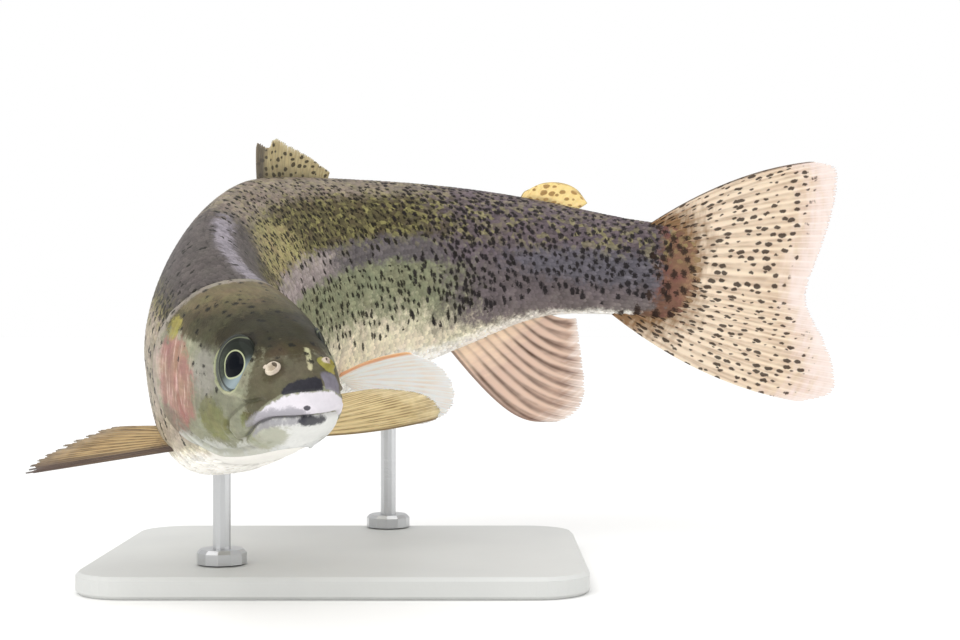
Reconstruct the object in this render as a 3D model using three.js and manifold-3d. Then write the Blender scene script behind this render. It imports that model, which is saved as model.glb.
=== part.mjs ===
// Life-size model of a rainbow trout that turns in the water, held over a steel plate by two rods.
// Millimetres, +Z up. The origin is the centre of the plate's underside; the tail points along +X.
//
// A place on the fish is given in its own terms: "along" is the share of the body's length from the
// snout tip (0) to the root of the tail fin (1), "left" and "up" are millimetres from the spine line.

import * as THREE from 'three'
import Module from 'manifold-3d'

const wasm = await Module()
wasm.setup()

// ---- Driving dimensions ----

const BODY_LENGTH = 295
const GAP = 0.4
const BODY_SIDES = 30

const SNOUT_TIP = new THREE.Vector3(2.8, -119.7, 54.7)
const POSE = {
  bendStart: 0.131,
  bendEnd: 0.94,
  bendEase: 0.12,
  headingHead: 116.8,
  headingTail: -6.0,
  tailCurl: -2.4,
  tailCurlStart: 0.72,
  slopeHead: 6.6,
  slopeBend: 13.6,
  slopeTail: -6.7,
  leanHead: -4.0,
  leanBend: -5.3,
  leanTail: -3.1
}

// Cross-sections of the body: along, back, belly, half width, fullness above and below the middle.
const BODY_STATIONS = [
  [0.02, 8.6, 7.6, 9.0, 2.2, 2.4],
  [0.05, 13.4, 12.4, 12.2, 2.4, 2.5],
  [0.10, 18.6, 18.0, 15.0, 2.6, 2.6],
  [0.15, 22.5, 22.6, 17.2, 2.35, 2.7],
  [0.20, 25.3, 27.2, 18.8, 2.05, 2.8],
  [0.25, 28.3, 31.6, 19.8, 1.8, 2.8],
  [0.35, 32.6, 36.2, 20.0, 1.7, 2.6],
  [0.45, 36.6, 36.8, 19.2, 1.72, 2.4],
  [0.50, 37.6, 36.4, 18.5, 1.8, 2.3],
  [0.55, 36.0, 35.8, 17.6, 1.9, 2.2],
  [0.65, 30.6, 34.0, 15.3, 2.0, 2.1],
  [0.75, 25.2, 28.2, 12.5, 2.0, 2.1],
  [0.85, 20.0, 19.0, 9.1, 2.1, 2.1],
  [0.92, 17.3, 16.3, 6.5, 2.2, 2.2],
  [0.97, 16.6, 15.8, 3.9, 2.2, 2.2],
  [1.00, 17.0, 16.4, 2.0, 2.2, 2.2]
]

// Where the head ends: over the crown, at the back of the gill covers and under the throat.
const HEAD_END = { crown: 0.172, side: 0.220, throat: 0.100, middle: 0.188 }
const TRUNK_CUTS = { middle: 0.44, rear: 0.62, tail: 0.875 }

const GILL_COVER = {
  topAngle: 42,
  bottomAngle: -52,
  frontAtTop: 0.158,
  frontAtBottom: 0.108,
  proud: 0.5,
  depth: 1.8,
  columns: 7,
  rows: 7
}

// The lower jaw's outline in side view, as [along, up]: mouth line, jaw corner and throat.
const JAW_OUTLINE = [
  [-0.03, -2.2],
  [0.010, -3.6],
  [0.045, -6.2],
  [0.093, -9.8],
  [0.106, -14.5],
  [0.082, -30.0],
  [-0.03, -30.0]
]
const JAW_WEDGE_WIDTH = 60

const EYE = { along: 0.070, left: 10.8, up: 7.3, radius: 7.0, depth: 3.0, forward: 18, upward: 12 }

// Median fins. "root" is where the first and last rays start, each [along, up], sunk in the body.
// Each row of "tips" is [place among the rays 0..1, along, up]. "bow" bends the rays, first to last.
const MEDIAN_FINS = {
  fin_dorsal: {
    root: [[0.511, 33.0], [0.606, 29.0]],
    tips: [
      [0, 0.531, 48.6], [0.12, 0.546, 45.8], [0.26, 0.558, 48.4], [0.45, 0.577, 45.0],
      [0.62, 0.591, 42.0], [0.8, 0.605, 38.2], [1, 0.617, 34.6]
    ],
    bow: [1.2, 0.6], rays: 11, rows: 3, rootThickness: 2.2, tipThickness: 0.8, notch: 0.05
  },
  fin_adipose: {
    root: [[0.816, 19.0], [0.868, 17.0]],
    tips: [
      [0, 0.824, 23.6], [0.25, 0.841, 26.4], [0.5, 0.860, 26.8], [0.75, 0.876, 25.0], [1, 0.889, 20.6]
    ],
    bow: [1.0, -0.6], rays: 5, rows: 3, rootThickness: 2.4, tipThickness: 0.8, notch: 0
  },
  fin_anal: {
    root: [[0.714, -26.0], [0.844, -16.0]],
    tips: [
      [0, 0.862, -54.0], [0.08, 0.884, -53.4], [0.22, 0.905, -49.2], [0.4, 0.911, -43.0],
      [0.6, 0.906, -35.2], [0.8, 0.898, -26.6], [1, 0.890, -18.4]
    ],
    bow: [-8.5, -1.5], rays: 11, rows: 4, rootThickness: 2.2, tipThickness: 0.8, notch: 0.04
  },
  fin_caudal: {
    root: [[0.950, 13.0], [0.915, -13.0]],
    tips: [
      [0, 1.135, 42.4], [0.07, 1.160, 41.2], [0.16, 1.165, 33.6], [0.3, 1.160, 20.0],
      [0.42, 1.150, 8.0], [0.5, 1.145, -2.0], [0.58, 1.152, -8.4], [0.7, 1.170, -16.0],
      [0.84, 1.186, -26.6], [0.93, 1.184, -33.4], [1, 1.152, -37.4]
    ],
    bow: [4.6, -5.4], rays: 16, rows: 4, rootThickness: 4.2, tipThickness: 0.8, notch: 0.02
  }
}

// Paired fins of the left side. Root and tips are [tailwards, left, up] from "at", in millimetres.
const PAIRED_FINS = {
  fin_pectoral_left: {
    at: { along: 0.212, left: 12.9, up: -18.0 },
    root: [[-4.5, -2.5, -1.0], [4.5, -2.5, 1.0]],
    tips: [
      [0, 7.0, 46.2, -3.7], [0.18, 5.5, 46.7, -0.3], [0.38, 6.0, 42.9, 3.5],
      [0.6, 10.0, 36.5, 4.9], [0.8, 13.0, 29.0, 5.2], [1, 13.0, 19.8, 3.9]
    ],
    bow: [-1.5, 2.0], rays: 10, rows: 4, rootThickness: 2.2, tipThickness: 0.7, notch: 0.03
  },
  fin_pelvic_left: {
    at: { along: 0.515, left: 13.5, up: -29.5 },
    root: [[-4.0, -2.5, 2.0], [4.0, -4.5, -0.5]],
    tips: [
      [0, -2.0, 26.0, 6.0], [0.2, 6.0, 30.0, -1.0], [0.4, 15.0, 27.0, -10.0],
      [0.6, 20.0, 20.0, -18.0], [0.8, 19.0, 10.0, -21.0], [1, 14.0, 4.3, -17.6]
    ],
    bow: [1.5, -1.0], rays: 8, rows: 4, rootThickness: 2.2, tipThickness: 0.7, notch: 0.03
  }
}

// The right pectoral fin is spread differently from the left one; here "left" counts to the right.
const RIGHT_PECTORAL_TIPS = [
  [0, 29.0, 38.0, -11.7], [0.15, 31.0, 37.1, -10.6], [0.35, 33.0, 31.6, -7.9],
  [0.6, 32.0, 23.3, -4.3], [0.8, 30.0, 14.0, -1.6], [1, 22.0, 6.8, -0.6]
]
const RIGHT_PECTORAL_BOW = [0.0, 0.6]
const RIGHT_PECTORAL_NOTCH = 0.12

const PLATE = { length: 140, width: 110, thickness: 6, cornerRadius: 14, edge: 1 }
const ROD = {
  radius: 2.5,
  collarRadius: 7,
  collarHeight: 4,
  collarBevel: 1,
  footDepth: 3,
  headDepth: 5,
  sides: 12
}
const ROD_PLACES = { stand_rod_front: 0.33, stand_rod_rear: 0.66 }

// ---- Materials ----

const MATERIALS = {
  skin: new THREE.MeshStandardMaterial({ color: 0x8a8a6c, roughness: 0.35, metalness: 0.1 }),
  jaw: new THREE.MeshStandardMaterial({ color: 0xe4e4dc, roughness: 0.35, metalness: 0 }),
  gillCover: new THREE.MeshStandardMaterial({ color: 0xc79a8c, roughness: 0.3, metalness: 0.15 }),
  fin: new THREE.MeshStandardMaterial({ color: 0xd9c7a0, roughness: 0.45, metalness: 0 }),
  eye: new THREE.MeshStandardMaterial({ color: 0x10141c, roughness: 0.08, metalness: 0 }),
  plate: new THREE.MeshStandardMaterial({ color: 0xd8d8d4, roughness: 0.5, metalness: 0.2 }),
  rod: new THREE.MeshStandardMaterial({ color: 0xb4b6b8, roughness: 0.3, metalness: 1 })
}

// ---- Smooth curves through rows of numbers ----

function smoothColumn(rows, column) {
  const slopes = rows.map((row, i) => {
    const before = rows[Math.max(i - 1, 0)]
    const after = rows[Math.min(i + 1, rows.length - 1)]
    return (after[column] - before[column]) / (after[0] - before[0])
  })
  return (x) => {
    let i = 0
    while (i < rows.length - 2 && x > rows[i + 1][0]) i += 1
    const step = rows[i + 1][0] - rows[i][0]
    const u = THREE.MathUtils.clamp((x - rows[i][0]) / step, 0, 1)
    const rise = rows[i][column] * (2 * u ** 3 - 3 * u ** 2 + 1)
    const fall = rows[i + 1][column] * (3 * u ** 2 - 2 * u ** 3)
    const leave = slopes[i] * step * (u ** 3 - 2 * u ** 2 + u)
    const arrive = slopes[i + 1] * step * (u ** 3 - u ** 2)
    return rise + fall + leave + arrive
  }
}

// ---- Spine ----

// The share of the whole bend that is reached at a place along the body, with eased ends.
function bendShare(along) {
  const ease = POSE.bendEase / (POSE.bendEnd - POSE.bendStart)
  const x = THREE.MathUtils.clamp((along - POSE.bendStart) / (POSE.bendEnd - POSE.bendStart), 0, 1)
  const full = 1 - ease
  if (x < ease) return x ** 2 / (2 * ease) / full
  if (x > 1 - ease) return 1 - (1 - x) ** 2 / (2 * ease) / full
  return (x - ease / 2) / full
}

function spineAxes(along) {
  const share = bendShare(along)
  const bump = 4 * share * (1 - share)
  const curl = POSE.tailCurl * THREE.MathUtils.smoothstep(along, POSE.tailCurlStart, 1)
  const heading = THREE.MathUtils.degToRad(
    THREE.MathUtils.lerp(POSE.headingHead, POSE.headingTail, share) + curl
  )
  const slope = THREE.MathUtils.degToRad(
    THREE.MathUtils.lerp(POSE.slopeHead, POSE.slopeTail, share) + POSE.slopeBend * bump
  )
  const lean = THREE.MathUtils.degToRad(
    THREE.MathUtils.lerp(POSE.leanHead, POSE.leanTail, share) + POSE.leanBend * bump
  )
  const tail = new THREE.Vector3(
    Math.cos(slope) * Math.cos(heading),
    Math.cos(slope) * Math.sin(heading),
    Math.sin(slope)
  )
  const plumb = new THREE.Vector3(0, 0, 1).addScaledVector(tail, -tail.z).normalize()
  const up = plumb.applyAxisAngle(tail, lean)
  const left = new THREE.Vector3().crossVectors(tail, up)
  return { tail, left, up }
}

const SPINE_END = 1.2
const SPINE_STEPS = 160

// Spine points at equal steps, each reached by the mean direction of its step.
function traceSpine() {
  const points = [SNOUT_TIP.clone()]
  for (let i = 1; i <= SPINE_STEPS; i += 1) {
    const before = spineAxes(((i - 1) * SPINE_END) / SPINE_STEPS).tail
    const after = spineAxes((i * SPINE_END) / SPINE_STEPS).tail
    const step = before.add(after).multiplyScalar((0.5 * BODY_LENGTH * SPINE_END) / SPINE_STEPS)
    points.push(points[i - 1].clone().add(step))
  }
  return points
}

const SPINE = traceSpine()

function spinePoint(along) {
  if (along < 0) return SNOUT_TIP.clone().addScaledVector(spineAxes(0).tail, along * BODY_LENGTH)
  const place = Math.min((along / SPINE_END) * SPINE_STEPS, SPINE_STEPS - 1e-6)
  const step = Math.floor(place)
  return SPINE[step].clone().lerp(SPINE[step + 1], place - step)
}

function fishPoint(along, left, up) {
  const axes = spineAxes(along)
  return spinePoint(along).addScaledVector(axes.left, left).addScaledVector(axes.up, up)
}

// ---- Body surface ----

const backAt = smoothColumn(BODY_STATIONS, 1)
const bellyAt = smoothColumn(BODY_STATIONS, 2)
const halfWidthAt = smoothColumn(BODY_STATIONS, 3)
const upperFullnessAt = smoothColumn(BODY_STATIONS, 4)
const lowerFullnessAt = smoothColumn(BODY_STATIONS, 5)

// The snout is blunt: ahead of the first station every size falls with the root of the distance.
function bluntness(along) {
  return Math.sqrt(Math.min(along / BODY_STATIONS[0][0], 1))
}

// A point of the body's surface at an angle round the spine: 0 is the left side, 90 degrees the back.
// "grow" moves it outwards by that many millimetres.
function bodyPoint(along, angle, grow = 0) {
  const blunt = bluntness(along)
  const above = Math.sin(angle) >= 0
  const power = 2 / (above ? upperFullnessAt(along) : lowerFullnessAt(along))
  const height = blunt * (above ? backAt(along) : bellyAt(along)) + grow
  const width = blunt * halfWidthAt(along) + grow
  const left = width * Math.sign(Math.cos(angle)) * Math.abs(Math.cos(angle)) ** power
  const up = height * Math.sign(Math.sin(angle)) * Math.abs(Math.sin(angle)) ** power
  return fishPoint(along, left, up)
}

// The rear edge of the head, round the body: crown, gill covers and throat.
function headEndAt(angle) {
  const sine = Math.sin(angle)
  if (sine > 0) return THREE.MathUtils.lerp(HEAD_END.side, HEAD_END.crown, sine ** 2)
  return THREE.MathUtils.lerp(HEAD_END.side, HEAD_END.throat, Math.abs(sine) ** 1.2)
}

// ---- Closed shapes ----

function geometryFrom(points, triangles) {
  const geometry = new THREE.BufferGeometry()
  geometry.setAttribute('position', new THREE.Float32BufferAttribute(points.flatMap((p) => p.toArray()), 3))
  geometry.setIndex(triangles)
  return geometry
}

// A skin over closed rings of points, shut by a fan to a centre point at each end.
function closedLoft(rings, firstCentre, lastCentre) {
  const sides = rings[0].length
  const points = [...rings.flat(), firstCentre, lastCentre]
  const first = points.length - 2
  const last = points.length - 1
  const lastRing = (rings.length - 1) * sides
  const triangles = []
  for (let side = 0; side < sides; side += 1) {
    const next = (side + 1) % sides
    for (let row = 0; row < rings.length - 1; row += 1) {
      const a = row * sides + side
      const b = row * sides + next
      triangles.push(a, b + sides, b, a, a + sides, b + sides)
    }
    triangles.push(first, side, next, last, lastRing + next, lastRing + side)
  }
  return geometryFrom(points, triangles)
}

// A thin closed body between two sheets of points, sheets[0] outside and sheets[1] inside,
// each a list of columns with the same number of rows.
function closedSheet(outer, inner) {
  const columns = outer.length
  const rows = outer[0].length
  const points = [...outer.flat(), ...inner.flat()]
  const under = columns * rows
  const at = (column, row) => column * rows + row
  const triangles = []
  const quad = (a, b, c, d) => triangles.push(a, b, c, a, c, d)
  for (let i = 0; i < columns - 1; i += 1) {
    for (let j = 0; j < rows - 1; j += 1) {
      quad(at(i, j), at(i + 1, j), at(i + 1, j + 1), at(i, j + 1))
      quad(under + at(i, j + 1), under + at(i + 1, j + 1), under + at(i + 1, j), under + at(i, j))
    }
    quad(under + at(i, 0), under + at(i + 1, 0), at(i + 1, 0), at(i, 0))
    quad(at(i, rows - 1), at(i + 1, rows - 1), under + at(i + 1, rows - 1), under + at(i, rows - 1))
  }
  for (let j = 0; j < rows - 1; j += 1) {
    quad(at(0, j), at(0, j + 1), under + at(0, j + 1), under + at(0, j))
    const end = columns - 1
    quad(under + at(end, j), under + at(end, j + 1), at(end, j + 1), at(end, j))
  }
  return geometryFrom(points, triangles)
}

// ---- Joining and cutting ----

function solidFrom(geometry) {
  return new wasm.Manifold(new wasm.Mesh({
    numProp: 3,
    vertProperties: new Float32Array(geometry.attributes.position.array),
    triVerts: new Uint32Array(geometry.index.array)
  }))
}

// Shares the vertices of a three.js shape that has one per face, and drops triangles of no area.
function mergeByPosition(geometry) {
  const source = geometry.index ? geometry.toNonIndexed() : geometry
  const position = source.attributes.position
  const seen = new Map()
  const points = []
  const index = []
  for (let i = 0; i < position.count; i += 1) {
    const point = new THREE.Vector3().fromBufferAttribute(position, i)
    const key = point.toArray().map((v) => Math.round(v * 1e4)).join(' ')
    if (!seen.has(key)) {
      seen.set(key, points.length)
      points.push(point)
    }
    index.push(seen.get(key))
  }
  const triangles = []
  for (let i = 0; i < index.length; i += 3) {
    const [a, b, c] = index.slice(i, i + 3)
    if (a !== b && b !== c && c !== a) triangles.push(a, b, c)
  }
  return geometryFrom(points, triangles)
}

function geometryOf(solid) {
  const mesh = solid.getMesh()
  const points = []
  for (let i = 0; i < mesh.vertProperties.length; i += mesh.numProp) {
    points.push(new THREE.Vector3(...mesh.vertProperties.slice(i, i + 3)))
  }
  return geometryFrom(points, Array.from(mesh.triVerts))
}

function largestPiece(solid) {
  return solid.decompose().reduce((best, piece) => (piece.volume() > best.volume() ? piece : best))
}

// ---- Head and trunk ----

// A length of the body between two edges, each given by its place along the body at each angle.
function bodyLength(startAt, endAt, startCentre, endCentre, rowPlaces, grow = 0) {
  const angles = Array.from({ length: BODY_SIDES }, (_, side) => (side * 2 * Math.PI) / BODY_SIDES)
  const rings = rowPlaces.map((place) => angles.map((angle) => {
    const along = THREE.MathUtils.lerp(startAt(angle), endAt(angle), place)
    return bodyPoint(along, angle, grow)
  }))
  return solidFrom(closedLoft(rings, spinePoint(startCentre), spinePoint(endCentre)))
}

function evenRows(count) {
  return Array.from({ length: count + 1 }, (_, row) => row / count)
}

// Rings crowd towards the snout, where the surface turns fastest.
function headBlank() {
  const rows = evenRows(13).slice(1).map((place) => place ** 1.6)
  return bodyLength(() => 0, headEndAt, 0, HEAD_END.middle, rows)
}

const SPACE = GAP / BODY_LENGTH
const COVER_ROOM = 2 * GAP
const RECESS_OVERRUN = 6

function trunkFront(grow = 0) {
  const reach = grow / BODY_LENGTH
  const start = (angle) => headEndAt(angle) + SPACE - reach
  const end = () => TRUNK_CUTS.middle - SPACE / 2 + reach
  return bodyLength(start, end, HEAD_END.middle + SPACE - reach, end(), evenRows(9), grow)
}

function trunkLength(from, to, rows, grow = 0) {
  const reach = grow / BODY_LENGTH
  const start = from + SPACE / 2 - reach
  const end = to - SPACE / 2 + reach
  return bodyLength(() => start, () => end, start, end, evenRows(rows), grow)
}

const trunkMiddle = (grow) => trunkLength(TRUNK_CUTS.middle, TRUNK_CUTS.rear, 7, grow)
const trunkRear = (grow) => trunkLength(TRUNK_CUTS.rear, TRUNK_CUTS.tail, 9, grow)
const tailStem = (grow) => trunkLength(TRUNK_CUTS.tail, 1, 5, grow)

// A gill cover is a curved plate on the side of the head, from the cheek to the head's rear edge.
// "side" is 1 for the left cover and -1 for the right one; "room" makes the recess that holds it,
// which runs on past the head's rear edge and out of the body by RECESS_OVERRUN times that room.
function gillCover(side, room = 0) {
  const turn = room / bellyAt(GILL_COVER.frontAtBottom)
  const top = THREE.MathUtils.degToRad(GILL_COVER.topAngle)
  const bottom = THREE.MathUtils.degToRad(GILL_COVER.bottomAngle)
  const sheet = (grow) => evenRows(GILL_COVER.columns).map((u) => evenRows(GILL_COVER.rows).map((v) => {
    const angle = THREE.MathUtils.lerp(top + turn, bottom - turn, v)
    const down = THREE.MathUtils.clamp((top - angle) / (top - bottom), 0, 1)
    const front = THREE.MathUtils.lerp(GILL_COVER.frontAtTop, GILL_COVER.frontAtBottom, down ** 2)
    const start = front - room / BODY_LENGTH
    const end = headEndAt(angle) + (RECESS_OVERRUN * room) / BODY_LENGTH
    const along = THREE.MathUtils.lerp(start, end, u)
    return bodyPoint(along, side > 0 ? angle : Math.PI - angle, grow)
  }))
  const outer = sheet(GILL_COVER.proud + RECESS_OVERRUN * room)
  const inner = sheet(-GILL_COVER.depth - room)
  return solidFrom(side > 0 ? closedSheet(inner, outer) : closedSheet(outer, inner))
}

function besideGillCovers(solid) {
  return largestPiece([1, -1].reduce((rest, side) => rest.subtract(gillCover(side, COVER_ROOM)), solid))
}

// A wedge across the head that parts the lower jaw from the rest; "room" widens it.
function jawWedge(room = 0) {
  const outline = new THREE.Shape(JAW_OUTLINE.map(([along, up], i) => {
    const rear = i >= 3 && i <= 5 ? room : 0
    const above = i <= 3 ? room : 0
    return new THREE.Vector2(along * BODY_LENGTH + rear, up + above)
  }))
  const geometry = new THREE.ExtrudeGeometry(outline, { depth: JAW_WEDGE_WIDTH, bevelEnabled: false })
  geometry.translate(0, 0, -JAW_WEDGE_WIDTH / 2)
  const axes = spineAxes(0)
  const place = new THREE.Matrix4().makeBasis(axes.tail, axes.up, axes.left)
  geometry.applyMatrix4(place.setPosition(SNOUT_TIP))
  return solidFrom(mergeByPosition(geometry))
}

// A flattened ball that looks out to the side, a little forwards and upwards.
function eyeball(side, room = 0) {
  const geometry = new THREE.SphereGeometry(1, 14, 9)
  geometry.scale(EYE.radius + room, EYE.radius + room, EYE.depth + room)
  const axes = spineAxes(EYE.along)
  const forward = Math.tan(THREE.MathUtils.degToRad(EYE.forward))
  const upward = Math.tan(THREE.MathUtils.degToRad(EYE.upward))
  const look = axes.left.clone().multiplyScalar(side)
  look.addScaledVector(axes.tail, -forward).addScaledVector(axes.up, upward).normalize()
  geometry.applyQuaternion(new THREE.Quaternion().setFromUnitVectors(new THREE.Vector3(0, 0, 1), look))
  const centre = fishPoint(EYE.along, side * EYE.left, EYE.up)
  geometry.translate(centre.x, centre.y, centre.z)
  return solidFrom(mergeByPosition(geometry))
}

function head() {
  let solid = headBlank().subtract(jawWedge(GAP))
  for (const side of [1, -1]) solid = solid.subtract(eyeball(side, GAP))
  return besideGillCovers(solid)
}

function lowerJaw() {
  return besideGillCovers(headBlank().intersect(jawWedge()))
}

// ---- Fins ----

// A fin is a fan of stiff rays with thinner web between them, notched where the web is frayed.
// "pointAt" gives a point from the place among the rays and the place from root to tip, both 0..1.
const SLOPE_STEP = 1e-3
const THINNING = 0.7
const WEB_SHARE = 0.25

function finSolid(fin, pointAt) {
  const columns = 2 * fin.rays
  const web = (across) => Math.sin(Math.PI * fin.rays * across) ** 2
  const place = (across, out) => pointAt(across, out * (1 - fin.notch * web(across)))
  const faceAt = (across, out) => {
    const [before, after] = [Math.max(across - SLOPE_STEP, 0), Math.min(across + SLOPE_STEP, 1)]
    const [inner, outer] = [Math.max(out - SLOPE_STEP, 0), Math.min(out + SLOPE_STEP, 1)]
    const acrossRays = pointAt(after, out).sub(pointAt(before, out))
    const alongRays = pointAt(across, outer).sub(pointAt(across, inner))
    return acrossRays.cross(alongRays).normalize()
  }
  const sheet = (side) => evenRows(columns).map((across) => evenRows(fin.rows).map((out) => {
    const full = THREE.MathUtils.lerp(fin.rootThickness, fin.tipThickness, out ** THINNING)
    const half = (full * (1 - WEB_SHARE * web(across))) / 2
    return place(across, out).addScaledVector(faceAt(across, out), side * half)
  }))
  return solidFrom(closedSheet(sheet(1), sheet(-1)))
}

// The rays' bow at a place from root to tip: none at the ends, full halfway.
function bowAt(fin, across, out) {
  return THREE.MathUtils.lerp(fin.bow[0], fin.bow[1], across) * 4 * out * (1 - out)
}

function medianFin(fin) {
  const tipAlong = smoothColumn(fin.tips, 1)
  const tipUp = smoothColumn(fin.tips, 2)
  return finSolid(fin, (across, out) => {
    const rootAlong = THREE.MathUtils.lerp(fin.root[0][0], fin.root[1][0], across)
    const rootUp = THREE.MathUtils.lerp(fin.root[0][1], fin.root[1][1], across)
    const along = THREE.MathUtils.lerp(rootAlong, tipAlong(across), out)
    const up = THREE.MathUtils.lerp(rootUp, tipUp(across), out) + bowAt(fin, across, out)
    return fishPoint(along, 0, up)
  })
}

function pairedFin(fin, side) {
  const axes = spineAxes(fin.at.along)
  const origin = fishPoint(fin.at.along, side * fin.at.left, fin.at.up)
  const tip = [1, 2, 3].map((column) => smoothColumn(fin.tips, column))
  return finSolid(fin, (across, out) => {
    const [tailwards, left, up] = [0, 1, 2].map((i) => {
      const root = THREE.MathUtils.lerp(fin.root[0][i], fin.root[1][i], across)
      return THREE.MathUtils.lerp(root, tip[i](across), out)
    })
    const point = origin.clone().addScaledVector(axes.tail, tailwards)
    point.addScaledVector(axes.left, side * left)
    return point.addScaledVector(axes.up, up + bowAt(fin, across, out))
  })
}

// ---- Stand ----

function plateSolid() {
  const { length, width, cornerRadius: corner, edge } = PLATE
  const x = length / 2 - edge
  const y = width / 2 - edge
  const outline = new THREE.Shape()
  outline.moveTo(-x + corner, -y)
  outline.lineTo(x - corner, -y)
  outline.absarc(x - corner, -y + corner, corner, -Math.PI / 2, 0, false)
  outline.absarc(x - corner, y - corner, corner, 0, Math.PI / 2, false)
  outline.absarc(-x + corner, y - corner, corner, Math.PI / 2, Math.PI, false)
  outline.absarc(-x + corner, -y + corner, corner, Math.PI, 1.5 * Math.PI, false)
  const geometry = new THREE.ExtrudeGeometry(outline, {
    depth: PLATE.thickness - 2 * edge,
    bevelThickness: edge,
    bevelSize: edge,
    bevelSegments: 1,
    curveSegments: 4
  })
  geometry.translate(0, 0, edge)
  return solidFrom(mergeByPosition(geometry))
}

// A rod stands in a hole of the plate, with a collar round its foot, and ends inside the belly.
function rodSolid(along, room = 0) {
  const foot = fishPoint(along, 0, 0)
  const top = bodyPoint(along, -Math.PI / 2).z + ROD.headDepth + room
  const bottom = PLATE.thickness - ROD.footDepth - room
  const collarBottom = PLATE.thickness + GAP
  const collarTop = collarBottom + ROD.collarHeight
  const radius = ROD.radius + room
  const profile = [
    [0, bottom],
    [radius, bottom],
    [radius, collarBottom],
    [ROD.collarRadius, collarBottom],
    [ROD.collarRadius, collarTop - ROD.collarBevel],
    [ROD.collarRadius - ROD.collarBevel, collarTop],
    [radius, collarTop],
    [radius, top],
    [0, top]
  ].map(([x, z]) => new THREE.Vector2(x, z))
  const geometry = new THREE.LatheGeometry(profile, ROD.sides)
  geometry.rotateX(Math.PI / 2)
  geometry.translate(foot.x, foot.y, 0)
  return solidFrom(mergeByPosition(geometry))
}

// ---- Assembly ----

const trout = new THREE.Group()

function addPiece(name, solid, material) {
  const mesh = new THREE.Mesh(geometryOf(solid), material)
  mesh.name = name
  trout.add(mesh)
}

function withoutRods(solid) {
  return Object.values(ROD_PLACES).reduce((rest, along) => rest.subtract(rodSolid(along, GAP)), solid)
}

addPiece('head', head(), MATERIALS.skin)
addPiece('lower_jaw', lowerJaw(), MATERIALS.jaw)
addPiece('gill_cover_left', gillCover(1), MATERIALS.gillCover)
addPiece('gill_cover_right', gillCover(-1), MATERIALS.gillCover)
addPiece('eye_left', eyeball(1), MATERIALS.eye)
addPiece('eye_right', eyeball(-1), MATERIALS.eye)
addPiece('trunk_front', besideGillCovers(withoutRods(trunkFront())), MATERIALS.skin)
addPiece('trunk_middle', trunkMiddle(), MATERIALS.skin)
addPiece('trunk_rear', withoutRods(trunkRear()), MATERIALS.skin)
addPiece('tail_stem', tailStem(), MATERIALS.skin)

// Fins stop just clear of the body.
const bodyRoom = [
  headBlank(), gillCover(1, GAP), gillCover(-1, GAP),
  trunkFront(GAP), trunkMiddle(GAP), trunkRear(GAP), tailStem(GAP)
]
const outsideBody = (solid) => largestPiece(bodyRoom.reduce((rest, part) => rest.subtract(part), solid))

for (const [name, fin] of Object.entries(MEDIAN_FINS)) {
  addPiece(name, outsideBody(medianFin(fin)), MATERIALS.fin)
}
for (const [name, fin] of Object.entries(PAIRED_FINS)) {
  addPiece(name, outsideBody(pairedFin(fin, 1)), MATERIALS.fin)
}
const rightPectoral = {
  ...PAIRED_FINS.fin_pectoral_left,
  tips: RIGHT_PECTORAL_TIPS,
  bow: RIGHT_PECTORAL_BOW,
  notch: RIGHT_PECTORAL_NOTCH
}
addPiece('fin_pectoral_right', outsideBody(pairedFin(rightPectoral, -1)), MATERIALS.fin)
addPiece('fin_pelvic_right', outsideBody(pairedFin(PAIRED_FINS.fin_pelvic_left, -1)), MATERIALS.fin)

addPiece('stand_base', withoutRods(plateSolid()), MATERIALS.plate)
for (const [name, along] of Object.entries(ROD_PLACES)) {
  addPiece(name, rodSolid(along), MATERIALS.rod)
}

export default trout
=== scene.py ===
import math

import bpy
import numpy as np
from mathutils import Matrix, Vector


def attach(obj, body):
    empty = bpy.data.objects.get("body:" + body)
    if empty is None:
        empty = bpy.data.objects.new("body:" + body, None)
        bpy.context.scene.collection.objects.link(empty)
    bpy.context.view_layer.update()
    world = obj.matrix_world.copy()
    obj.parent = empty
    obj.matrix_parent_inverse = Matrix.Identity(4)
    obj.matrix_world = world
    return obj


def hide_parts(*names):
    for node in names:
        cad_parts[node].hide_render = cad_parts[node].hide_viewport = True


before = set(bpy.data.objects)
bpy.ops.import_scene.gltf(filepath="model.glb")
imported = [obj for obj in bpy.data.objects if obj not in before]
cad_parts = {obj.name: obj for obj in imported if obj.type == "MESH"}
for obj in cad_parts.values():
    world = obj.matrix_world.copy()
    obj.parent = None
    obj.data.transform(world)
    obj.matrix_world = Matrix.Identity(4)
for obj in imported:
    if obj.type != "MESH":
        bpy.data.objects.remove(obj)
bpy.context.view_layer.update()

# ---- Viewpoint, studio and floor ----
# A level camera at the fish's own height and a pale seamless floor. One wide soft light hangs above, weaker
# ones stand beside the camera and at the right, and the white room fills in from all sides.

MM = 0.001

camera_data = bpy.data.cameras.new("viewpoint")
camera_data.lens = 60.75
camera_data.sensor_width = 36
camera_data.clip_start = 0.01
camera = bpy.data.objects.new("viewpoint", camera_data)
camera.location = (0.040, -0.482, 0.074)
camera.rotation_euler = (math.radians(90), 0, 0)
bpy.context.scene.collection.objects.link(camera)
bpy.context.scene.camera = camera
bpy.context.scene.view_settings.view_transform = "Standard"


def linear(hex_colour):
    """An sRGB hex colour as linear red, green, blue and alpha."""
    parts = [int(hex_colour[i:i + 2], 16) / 255 for i in (1, 3, 5)]
    return tuple(p / 12.92 if p <= 0.04045 else ((p + 0.055) / 1.055) ** 2.4 for p in parts) + (1.0,)


def add(tree, kind, links=None, **settings):
    """Adds a node with its settings; links gives a value or another node's output for each input."""
    node = tree.nodes.new("ShaderNode" + kind)
    for name, value in settings.items():
        setattr(node, name, value)
    for key, value in (links or {}).items():
        if isinstance(value, bpy.types.NodeSocket):
            tree.links.new(value, node.inputs[key])
        else:
            node.inputs[key].default_value = value
    return node


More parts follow.
